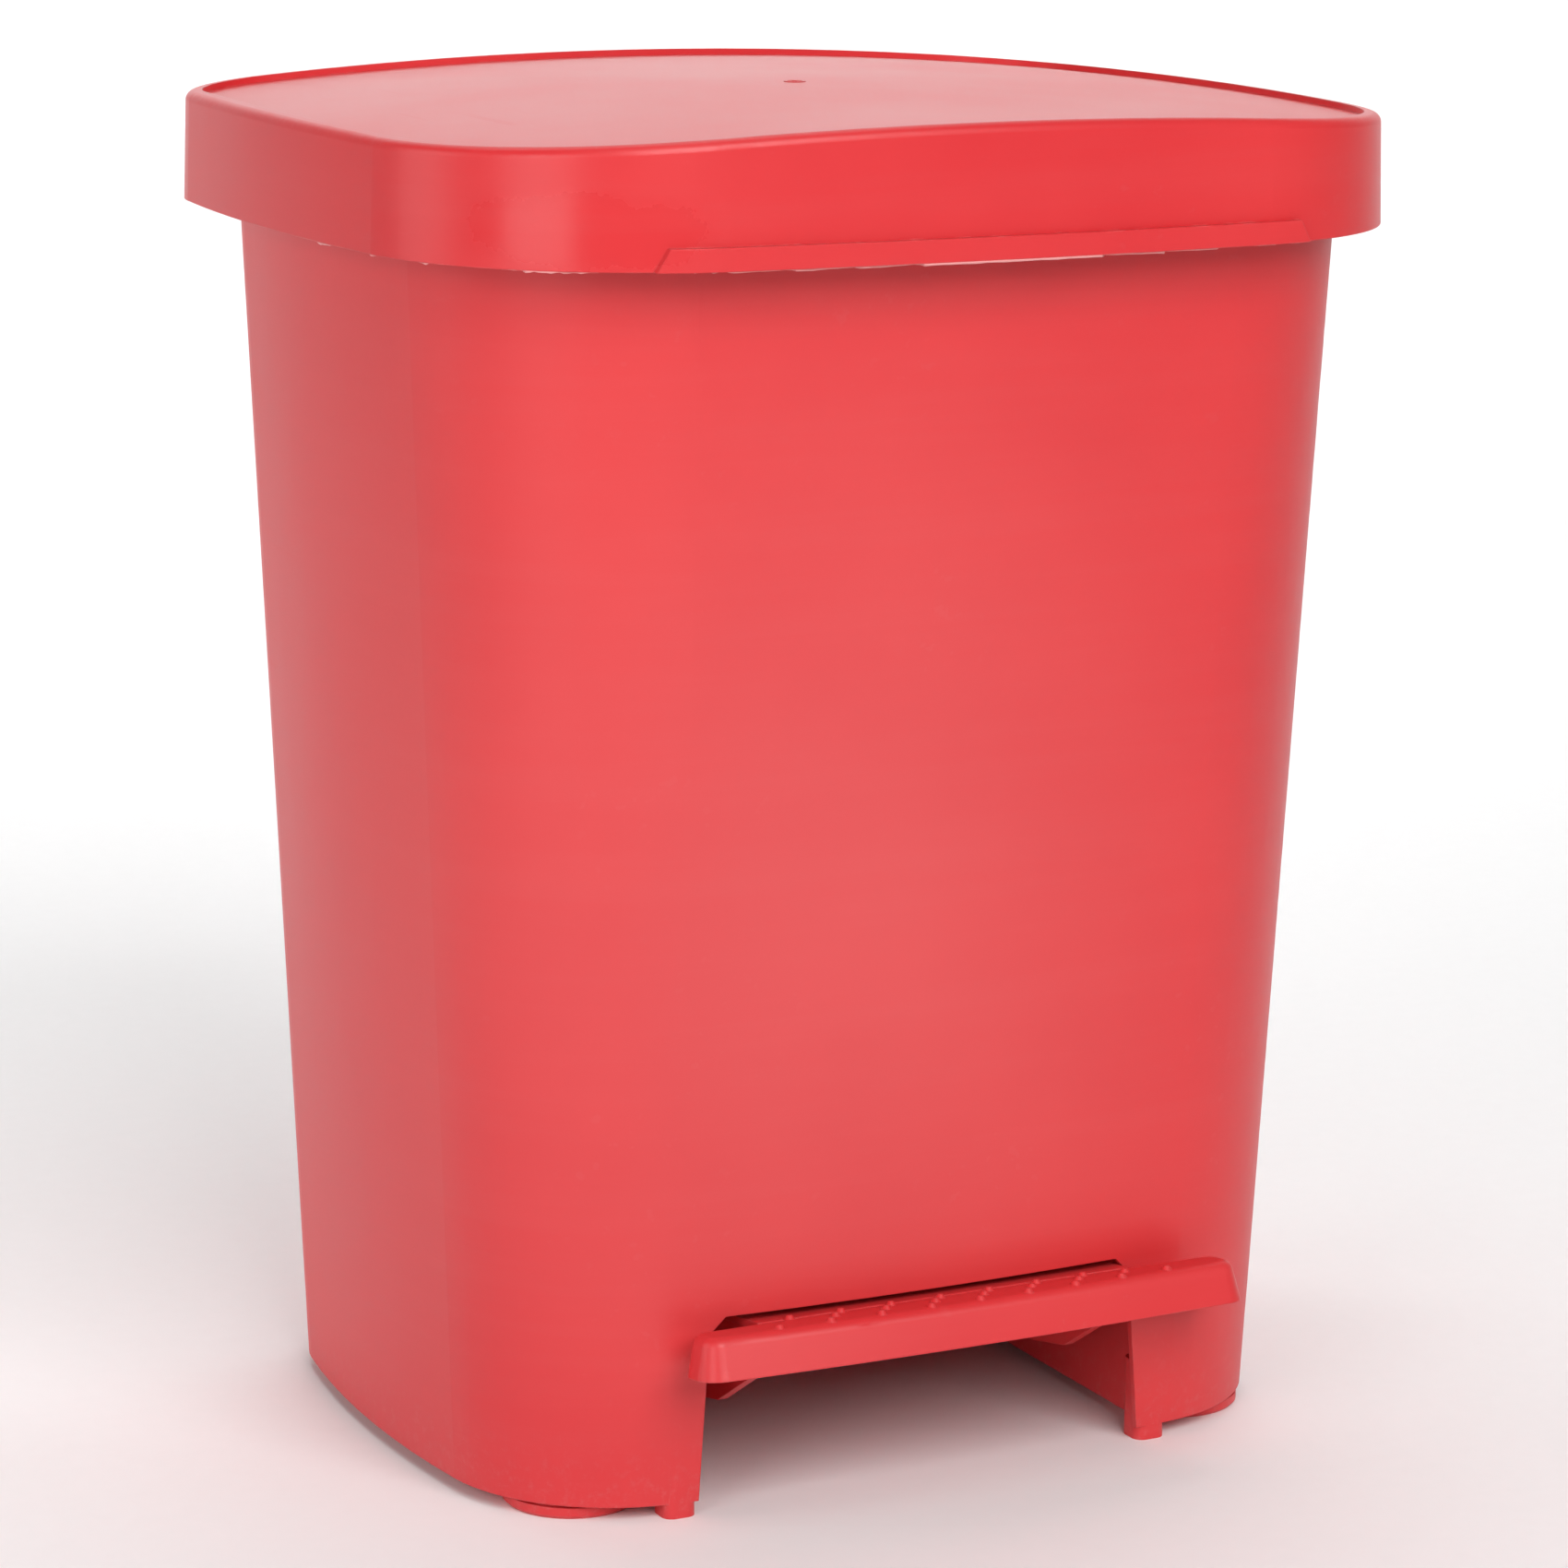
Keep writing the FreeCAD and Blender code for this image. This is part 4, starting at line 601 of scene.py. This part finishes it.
@dataclass(frozen=True)
class SmallMoulding:
    """Plain moulded nylon or rubbery plastic of small fittings.

    Args:
        name: the material's name.
        color: the main colour.
        shade: the colour of its clouds.
        roughness: the mean roughness.
        seep: how much light goes into it.
        rubbed: the colour of rubbed edges.
    """

    name: str
    color: Color
    shade: Color
    roughness: float = 0.5
    seep: float = 0.0
    rubbed: Color = (0.75, 0.74, 0.71, 1.0)

    def build(self, effects: Effects) -> bpy.types.Material:
        """Makes the material.

        Args:
            effects: the shared effects.

        Returns:
            The material.
        """
        material, graph, shader = new_material(self.name)
        variation = effects.variation.use(graph, Cloud_Scale=22.0, Line_Scale=4.0)
        grain = effects.grain.use(graph, Grain_Scale=1800.0, Grain_Height=0.2,
                                  Wave_Scale=40.0, Wave_Height=0.4)
        edges = effects.edges.use(graph, Radius=0.0004, Wear=0.3)
        cloud = graph.mix(variation.outputs["Cloud"], self.shade, self.color)
        worn = graph.mix(edges.outputs["Mask"], cloud, self.rubbed)
        graph.join(worn, shader.inputs[Link.COLOR.value])
        rough = graph.math("ADD", self.roughness - 0.05,
                           graph.math("MULTIPLY", grain.outputs["Grain"], 0.10))
        graph.join(rough, shader.inputs[Link.ROUGHNESS.value])
        bump = graph.node("ShaderNodeBump", Strength=0.4, Distance=0.0003)
        graph.join(grain.outputs["Height"], bump.inputs["Height"])
        graph.join(edges.outputs["Normal"], bump.inputs["Normal"])
        graph.join(bump.outputs["Normal"], shader.inputs[Link.NORMAL.value])
        shader.inputs["Subsurface Weight"].default_value = self.seep
        shader.inputs["Subsurface Scale"].default_value = 0.002
        return material


@dataclass(frozen=True)
class StudioPaper:
    """Seamless pale paper of the studio floor.

    Args:
        name: the material's name.
        color: the paper's colour.
        fibre_color: the colour of its paler fibres.
        front: the level way from the bin toward the front of the studio.
        glow: light that the far paper in front gives to the camera only.
        glow_from: how far in front of the bin the glow starts, in metres.
        glow_full: how far in front it is full, in metres.
    """

    name: str = "studio_paper"
    color: Color = (0.93, 0.93, 0.93, 1.0)
    fibre_color: Color = (0.95, 0.95, 0.95, 1.0)
    front: Triple = (-0.454, -0.891, 0.0)
    glow: Color = (0.8, 0.8, 0.8, 1.0)
    glow_from: float = 0.9
    glow_full: float = 2.4

    def build(self) -> bpy.types.Material:
        """Makes the material.

        Returns:
            The material.
        """
        material, graph, shader = new_material(self.name)
        place = graph.node("ShaderNodeTexCoord").outputs["Object"]
        fibre = graph.node("ShaderNodeTexNoise", Scale=120.0, Detail=4.0)
        graph.join(place, fibre.inputs["Vector"])
        tone = graph.mix(fibre.outputs["Fac"], self.color, self.fibre_color)
        graph.join(tone, shader.inputs[Link.COLOR.value])
        shader.inputs[Link.ROUGHNESS.value].default_value = 0.9
        shader.inputs["Specular IOR Level"].default_value = 0.1
        ahead = graph.node("ShaderNodeVectorMath", operation="DOT_PRODUCT")
        graph.join(place, ahead.inputs[0])
        ahead.inputs[1].default_value = self.front
        seen = graph.node("ShaderNodeLightPath").outputs["Is Camera Ray"]
        far = graph.remap(ahead.outputs["Value"], self.glow_from, self.glow_full)
        glow = graph.math("MULTIPLY", seen, far)
        graph.join(glow, shader.inputs["Emission Strength"])
        shader.inputs["Emission Color"].default_value = self.glow
        return material


def new_material(name: str) -> tuple[bpy.types.Material, Graph, bpy.types.Node]:
    """Makes an empty material with a surface shader and an output.

    Args:
        name: the material's name.

    Returns:
        The material, its graph and its surface shader.
    """
    material = bpy.data.materials.new(name)
    material.use_nodes = True
    tree = material.node_tree
    tree.nodes.clear()
    graph = Graph(tree)
    shader = tree.nodes.new("ShaderNodeBsdfPrincipled")
    output = tree.nodes.new("ShaderNodeOutputMaterial")
    graph.join(shader.outputs["BSDF"], output.inputs["Surface"])
    return material, graph, shader


@dataclass
class Finishes:
    """All the materials of the bin.

    Args:
        effects: the shared effects that they use.
        scuff_inset: the lid's scuff, from its front left lower corner, in metres.
        sheen_place: the middle of the painted sheen on the front, a paler patch for the front
            lamp's broad highlight, in metres.
    """

    effects: Effects
    scuff_inset: Triple = (0.052, 0.028, 0.022)
    sheen_place: Triple = (-0.055, -0.14, 0.215)
    shell: bpy.types.Material = None
    lid: bpy.types.Material = None
    pedal: bpy.types.Material = None
    flash: bpy.types.Material = None
    steel_x: bpy.types.Material = None
    steel_z: bpy.types.Material = None
    nylon: bpy.types.Material = None
    black: bpy.types.Material = None

    def build(self) -> "Finishes":
        """Makes the materials.

        Returns:
            These finishes.
        """
        patch = tuple(a + b for a, b in zip(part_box("lid")[0], self.scuff_inset))
        # The shell gets a painted sheen on its front, a paler patch that stands in for the
        # front lamp's broad highlight.
        self.shell = RedPlastic("red_shell", sheen_centre=self.sheen_place).build(self.effects)
        self.lid = RedPlastic("red_lid", roughness=0.34, wave=1.92, grain=0.02, wear=0.45,
                              gloss_patch=patch).build(self.effects)
        self.pedal = RedPlastic("red_pedal", roughness=0.40, wear=0.3,
                                scratch=0.5).build(self.effects)
        self.flash = RedPlastic("red_flash", color=(0.92, 0.42, 0.41, 1.0),
                                deep=(0.88, 0.32, 0.31, 1.0), roughness=0.30,
                                wear=0.8).build(self.effects)
        self.steel_x = DrawnSteel("steel_pins").build(self.effects)
        self.steel_z = DrawnSteel("steel_rod", stretch=(60.0, 60.0, 2.0)).build(self.effects)
        self.nylon = SmallMoulding("natural_nylon", (0.74, 0.72, 0.66, 1.0),
                                   (0.66, 0.64, 0.57, 1.0), 0.45, 0.1).build(self.effects)
        self.black = SmallMoulding("black_caps", (0.022, 0.022, 0.024, 1.0),
                                   (0.015, 0.015, 0.016, 1.0), 0.5).build(self.effects)
        log.info("finishes made")
        return self


def dress(nodes: Iterable[str], material: bpy.types.Material) -> None:
    """Puts a material on CAD nodes.

    Args:
        nodes: names of CAD nodes.
        material: the material that they get.
    """
    for name in nodes:
        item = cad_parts[name]
        item.data.materials.clear()
        item.data.materials.append(material)
        log.info("dressed %s with %s", name, material.name)


# ------------------------------------------------------------------ sub-assemblies

@dataclass
class EdgeStrip:
    """Thin ragged strip of moulding flash along a line.

    Args:
        name: the piece's name.
        line: points that the strip follows, in metres.
        outward: for each point, the way the strip's face looks.
        height: how far it hangs below the line.
        thick: its thickness.
        wobble: how uneven its lower edge is, from 0 to 1.
        taper: one over the share of its length that each end thins out in.
        least: the least height, as a share of the full one.
        ripples: turns of the two waves that make the edge ragged, in radians a point.
        lower_corners: how deep its two lower corners lie, as shares of thick.
    """

    name: str
    line: Sequence[Vector]
    outward: Sequence[Vector]
    height: float
    thick: float
    wobble: float
    taper: float = 4.0
    least: float = 0.08
    ripples: tuple[float, float] = (1.7, 0.43)
    lower_corners: tuple[float, float] = (0.8, 0.3)

    def build(self, material: bpy.types.Material, body: Body, slot: Slot) -> bpy.types.Object:
        """Makes the strip as a closed mesh.

        Args:
            material: its finish.
            body: the body that it moves with.
            slot: the record's slot; not used.

        Returns:
            The new object.
        """
        mesh = bpy.data.meshes.new(self.name)
        work = bmesh.new()
        rings = []
        count = len(self.line)
        fast, slow = self.ripples
        deep, shallow = self.lower_corners
        for index, (point, way) in enumerate(zip(self.line, self.outward)):
            ease = min(1.0, self.taper * min(index, count - 1 - index) / max(1, count - 1))
            ragged = 0.5 + 0.5 * math.sin(index * fast) * math.sin(index * slow + 1.0)
            drop = self.height * max(self.least, ease * (1.0 - self.wobble * ragged))
            back = way * self.thick
            down = Vector((0.0, 0.0, -drop))
            rings.append([work.verts.new(point), work.verts.new(point - back),
                          work.verts.new(point - back * deep + down),
                          work.verts.new(point - back * shallow + down)])
        for first, second in zip(rings, rings[1:]):
            for side in range(4):
                after = (side + 1) % 4
                work.faces.new((first[side], first[after], second[after], second[side]))
        work.faces.new(rings[0][::-1])
        work.faces.new(rings[-1])
        bmesh.ops.recalc_face_normals(work, faces=work.faces)
        work.to_mesh(mesh)
        work.free()
        piece = bpy.data.objects.new(self.name, mesh)
        bpy.context.scene.collection.objects.link(piece)
        mesh.materials.append(material)
        for face in mesh.polygons:
            face.use_smooth = True
        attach(piece, body.value)
        log.info("piece %s", self.name)
        return piece


def level_rim(node: str, level: float, reach: float) -> list[Vector]:
    """Outermost points of a CAD node at one height, in order round the Z axis.

    Args:
        node: the CAD node.
        level: the height to look at.
        reach: how far from that height a point may be.

    Returns:
        The points, one for each half degree of turn.
    """
    best: dict[int, Vector] = {}
    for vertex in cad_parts[node].data.vertices:
        point = vertex.co
        if abs(point.z - level) > reach:
            continue
        step = round(math.degrees(math.atan2(point.y, point.x)) * 2)
        kept = best.get(step)
        if kept is None or point.xy.length > kept.xy.length:
            best[step] = point.copy()
    return [best[step] for step in sorted(best)]


@dataclass
class Shell:
    """The bin's body with its feet, fixed pins and groove fittings.

    Args:
        finishes: the materials.
    """

    finishes: Finishes

    def build(self) -> None:
        """Dresses the body's CAD nodes."""
        feet = [f"foot_{end}_{side}" for end in ("front", "rear") for side in ("left", "right")]
        dress(["bin_body", "rear_cover"] + feet, self.finishes.shell)
        dress(["hinge_pin", "pedal_axle", "rear_cover_screws"], self.finishes.steel_x)
        dress(["hinge_pin_caps", "axle_caps"], self.finishes.black)
        dress(["rod_guide_lower", "rod_guide_upper"], self.finishes.nylon)


@dataclass
class LidUnit:
    """The lid with its crank, its flash and its gate mark.

    Args:
        finishes: the materials.
        edge_rise: height of the skirt's lower edge over the lid's lowest point.
        edge_reach: how far from that height a point of the edge may be.
        lip_ends: X of the finger lip's ends.
        corner_end: X where the skirt's corner flash ends.
        lip_points: points along the lip's flash.
        corner_points: points along the corner.
        corner_runs: first and last point of each run of corner flash.
        flash_height: how far the flash hangs down.
        lip_thick: thickness of the lip's flash.
        corner_thick: thickness of the corner's flash.
        lip_wobble: how uneven the lip's flash is.
        corner_wobble: how uneven the corner's flash is.
        gate_profile: radius and rise of each ring of the gate mark.
        gate_sides: sides of each ring.
    """

    finishes: Finishes
    edge_rise: float = 0.0087
    edge_reach: float = 0.0009
    lip_ends: tuple[float, float] = (-0.1305, 0.1215)
    corner_end: float = -0.136
    lip_points: int = 90
    corner_points: int = 120
    corner_runs: Sequence[tuple[int, int]] = ((8, 18), (38, 44), (61, 65), (84, 112))
    flash_height: float = 0.0009
    lip_thick: float = 0.0005
    corner_thick: float = 0.0007
    lip_wobble: float = 0.25
    corner_wobble: float = 0.8
    gate_profile: Sequence[tuple[float, float]] = (
        (0.0042, -0.0001), (0.0040, 0.00025), (0.0030, 0.0003),
        (0.0026, 0.00005), (0.0011, 0.00005), (0.0009, 0.0005))
    gate_sides: int = 28

    def build(self) -> None:
        """Dresses the lid's CAD nodes and adds the flash and the gate mark."""
        dress(["lid"], self.finishes.lid)
        dress(["lid_crank"], self.finishes.shell)
        dress(["crank_pin", "crank_screws"], self.finishes.steel_x)
        dress(["crank_pin_caps"], self.finishes.black)
        self.add_flash()
        self.add_gate_mark()

    def add_flash(self) -> None:
        """Adds thin flash under the finger lip and in short runs round the left corner."""
        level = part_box("lid")[0][2] + self.edge_rise
        rim = [p for p in level_rim("lid", level, self.edge_reach) if p.y < 0.0]
        left, right = self.lip_ends
        lip = resample([p for p in rim if left < p.x < right], self.lip_points)
        EdgeStrip("lip_flash", lip, outward_of(lip), self.flash_height, self.lip_thick,
                  self.lip_wobble).build(self.finishes.flash, Body.LID, Slot.LID)
        corner = resample([p for p in rim if p.x < self.corner_end], self.corner_points)
        for index, (first, last) in enumerate(self.corner_runs):
            part = corner[first:last]
            EdgeStrip(f"skirt_flash_{index}", part, outward_of(part), self.flash_height,
                      self.corner_thick, self.corner_wobble).build(
                          self.finishes.flash, Body.LID, Slot.LID)

    def add_gate_mark(self) -> None:
        """Adds the small round scar where plastic entered the lid's mould."""
        top = surface_height("lid", Vector((0.0, 0.0)))
        mesh = bpy.data.meshes.new("gate_mark")
        work = bmesh.new()
        sides = self.gate_sides
        turns = [2 * math.pi * i / sides for i in range(sides)]
        rings = []
        for radius, rise in self.gate_profile:
            rings.append([work.verts.new((radius * math.cos(a), radius * math.sin(a),
                                          top + rise)) for a in turns])
        for inner, outer in zip(rings[1:], rings):
            for i in range(sides):
                j = (i + 1) % sides
                work.faces.new((outer[i], outer[j], inner[j], inner[i]))
        work.faces.new(rings[-1])
        work.faces.new(rings[0][::-1])
        bmesh.ops.recalc_face_normals(work, faces=work.faces)
        work.to_mesh(mesh)
        work.free()
        piece = bpy.data.objects.new("gate_mark", mesh)
        bpy.context.scene.collection.objects.link(piece)
        mesh.materials.append(self.finishes.lid)
        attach(piece, Body.LID.value)
        log.info("piece gate_mark")


def surface_height(node: str, place: Vector) -> float:
    """Height of a CAD node's highest surface over a point.

    Args:
        node: the CAD node.
        place: the point's X and Y.

    Returns:
        The height in metres.
    """
    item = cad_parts[node]
    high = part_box(node)[1][2]
    found, point, _, _ = item.ray_cast(Vector((place.x, place.y, high + 0.1)),
                                       Vector((0.0, 0.0, -1.0)))
    return point.z if found else high


def resample(points: Sequence[Vector], count: int) -> list[Vector]:
    """Spreads points evenly along a line.

    Args:
        points: the line's points in order.
        count: how many points to return.

    Returns:
        The evenly spread points.
    """
    spans = [0.0]
    for first, second in zip(points, points[1:]):
        spans.append(spans[-1] + (second - first).length)
    out = []
    index = 0
    for step in range(count):
        want = spans[-1] * step / (count - 1)
        while index < len(spans) - 2 and spans[index + 1] < want:
            index += 1
        span = max(1e-9, spans[index + 1] - spans[index])
        out.append(points[index].lerp(points[index + 1], (want - spans[index]) / span))
    return out


def outward_of(points: Sequence[Vector]) -> list[Vector]:
    """Level directions that point away from the middle of the bin.

    Args:
        points: points of a line that runs anticlockwise round the bin.

    Returns:
        One direction for each point.
    """
    out = []
    for index in range(len(points)):
        before = points[max(0, index - 1)]
        after = points[min(len(points) - 1, index + 1)]
        along = after - before
        out.append(Vector((along.y, -along.x, 0.0)).normalized())
    return out


@dataclass
class PedalLever:
    """The foot lever with its rear pin.

    Args:
        finishes: the materials.
    """

    finishes: Finishes

    def build(self) -> None:
        """Dresses the lever's CAD nodes."""
        dress(["pedal"], self.finishes.pedal)
        dress(["rear_pin"], self.finishes.steel_x)
        dress(["rear_pin_caps"], self.finishes.black)


@dataclass
class LiftRod:
    """The push rod with its end pieces.

    Args:
        finishes: the materials.
    """

    finishes: Finishes

    def build(self) -> None:
        """Dresses the rod's CAD nodes."""
        dress(["push_rod"], self.finishes.steel_z)
        dress(["rod_lock_pins"], self.finishes.steel_x)
        dress(["rod_head", "rod_foot"], self.finishes.nylon)


# ------------------------------------------------------------------ studio

@dataclass(frozen=True)
class SoftBox:
    """A large soft lamp aimed at a point.

    Args:
        name: its name.
        place: where it is.
        aim: what it looks at.
        size: width and height.
        power: in watts.
    """

    name: str
    place: Triple
    aim: Triple
    size: tuple[float, float]
    power: float

    def build(self) -> None:
        """Makes the lamp."""
        data = bpy.data.lights.new(self.name, "AREA")
        data.shape = "RECTANGLE"
        data.size, data.size_y = self.size
        data.energy = self.power
        lamp = bpy.data.objects.new(self.name, data)
        lamp.location = self.place
        lamp.visible_camera = False
        look = Vector(self.aim) - Vector(self.place)
        lamp.rotation_euler = look.to_track_quat("-Z", "Y").to_euler()
        bpy.context.scene.collection.objects.link(lamp)


@dataclass
class Studio:
    """Floor, lights and camera.

    Args:
        azimuth: the camera's turn about the bin, 0 straight in front, in degrees.
        elevation: how far the camera looks down, in degrees.
        roll: the camera's tilt about its own axis, in degrees.
        distance: from the aim point to the camera.
        aim_right: how far right of the bin's middle the camera aims.
        aim_height: the height that it aims at.
        aim_forward: how far forward or back it aims.
        lens: focal length for a 36 mm wide frame, in millimetres.
        shift: sideways and upward shift of the frame.
        fill: strength of the light from all round.
        floor_reach: how far the floor goes to the front and the sides.
        sweep_start: how far behind the bin it starts to curve up.
        sweep_radius: radius of that curve.
        sweep_steps: steps round the curve.
        wall_height: height that it rises to.
    """

    azimuth: float = -27.0
    elevation: float = 11.66
    roll: float = 0.5
    distance: float = 1.939
    aim_right: float = -0.0129
    aim_height: float = 0.2584
    aim_forward: float = -0.00265
    lens: float = 119.27
    shift: tuple[float, float] = (0.01724, -0.0384)
    fill: float = 0.10
    floor_reach: float = 9.0
    sweep_start: float = 2.0
    sweep_radius: float = 1.6
    sweep_steps: int = 24
    wall_height: float = 7.0

    def build(self) -> None:
        """Makes the floor, the world, the lights and the camera."""
        self.add_floor()
        self.add_world()
        for lamp in self.lamps():
            lamp.build()
        self.add_camera()
        log.info("studio ready")

    def lamps(self) -> list[SoftBox]:
        """Lists the lamps.

        Returns:
            The lamps to make.
        """
        middle = (0.0, 0.0, 0.28)
        return [
            SoftBox("high_front", (-0.1, -1.1, 2.4), middle, (1.7, 1.3), 5.0),
            SoftBox("key_front", (0.0, -2.4, 1.8), middle, (2.0, 1.6), 57.0),
            SoftBox("left_front", (-2.3, -1.4, 1.0), middle, (1.4, 1.6), 20.0),
            SoftBox("left_back", (-2.6, 0.9, 1.0), middle, (1.4, 1.8), 14.0),
            SoftBox("back_wash", (0.2, 0.9, 3.0), (1.3, 3.4, 1.3), (2.4, 1.2), 92.0),
        ]

    def add_floor(self) -> None:
        """Adds a seamless floor that curves up behind the bin."""
        mesh = bpy.data.meshes.new("studio_floor")
        work = bmesh.new()
        profile = [(-self.floor_reach, 0.0), (self.sweep_start, 0.0)]
        for step in range(1, self.sweep_steps + 1):
            angle = math.pi / 2 * step / self.sweep_steps
            profile.append((self.sweep_start + self.sweep_radius * math.sin(angle),
                            self.sweep_radius * (1 - math.cos(angle))))
        profile.append((self.sweep_start + self.sweep_radius, self.wall_height))
        spin = Matrix.Rotation(math.radians(self.azimuth), 3, "Z")
        strips = 3
        sides = [self.floor_reach * (2 * i / strips - 1) for i in range(strips + 1)]
        rows = []
        for along, height in profile:
            rows.append([work.verts.new(spin @ Vector((side, along, height)))
                         for side in sides])
        for first, second in zip(rows, rows[1:]):
            for index in range(strips):
                work.faces.new((first[index], first[index + 1],
                                second[index + 1], second[index]))
        work.to_mesh(mesh)
        work.free()
        for face in mesh.polygons:
            face.use_smooth = True
        floor = bpy.data.objects.new("studio_floor", mesh)
        bpy.context.scene.collection.objects.link(floor)
        mesh.materials.append(StudioPaper().build())

    def add_world(self) -> None:
        """Lights the surroundings evenly, and shows them white."""
        world = bpy.data.worlds.new("studio_world")
        world.use_nodes = True
        graph = Graph(world.node_tree)
        sky = world.node_tree.nodes["Background"]
        sky.inputs["Color"].default_value = (1.0, 1.0, 1.0, 1.0)
        seen = graph.node("ShaderNodeLightPath").outputs["Is Camera Ray"]
        graph.join(graph.remap(seen, 0.0, 1.0, self.fill, 1.0), sky.inputs["Strength"])
        bpy.context.scene.world = world

    def add_camera(self) -> None:
        """Adds the camera and makes it the scene's."""
        data = bpy.data.cameras.new("camera")
        data.sensor_width = 36.0
        data.lens = self.lens
        data.shift_x, data.shift_y = self.shift
        data.clip_start = 0.05
        data.clip_end = 60.0
        turn = math.radians(self.azimuth)
        rise = math.radians(self.elevation)
        lean = math.radians(self.roll)
        back = Vector((math.sin(turn) * math.cos(rise), -math.cos(turn) * math.cos(rise),
                       math.sin(rise)))
        right = Vector((math.cos(turn), math.sin(turn), 0.0))
        up = back.cross(right)
        tilted_right = right * math.cos(lean) + up * math.sin(lean)
        tilted_up = up * math.cos(lean) - right * math.sin(lean)
        place = (Vector((0.0, self.aim_forward, self.aim_height))
                 + tilted_right * self.aim_right + back * self.distance)
        camera = bpy.data.objects.new("camera", data)
        pose = Matrix((tilted_right, tilted_up, back)).transposed().to_4x4()
        pose.translation = place
        camera.matrix_world = pose
        bpy.context.scene.collection.objects.link(camera)
        bpy.context.scene.camera = camera


def main() -> None:
    """Builds the bin's looks piece by piece, then the studio."""
    effects = Effects().build()
    finishes = Finishes(effects).build()
    Shell(finishes).build()
    LidUnit(finishes).build()
    PedalLever(finishes).build()
    LiftRod(finishes).build()
    Studio().build()
    bpy.context.scene.view_settings.view_transform = "Standard"


if __name__ == "__main__":
    main()
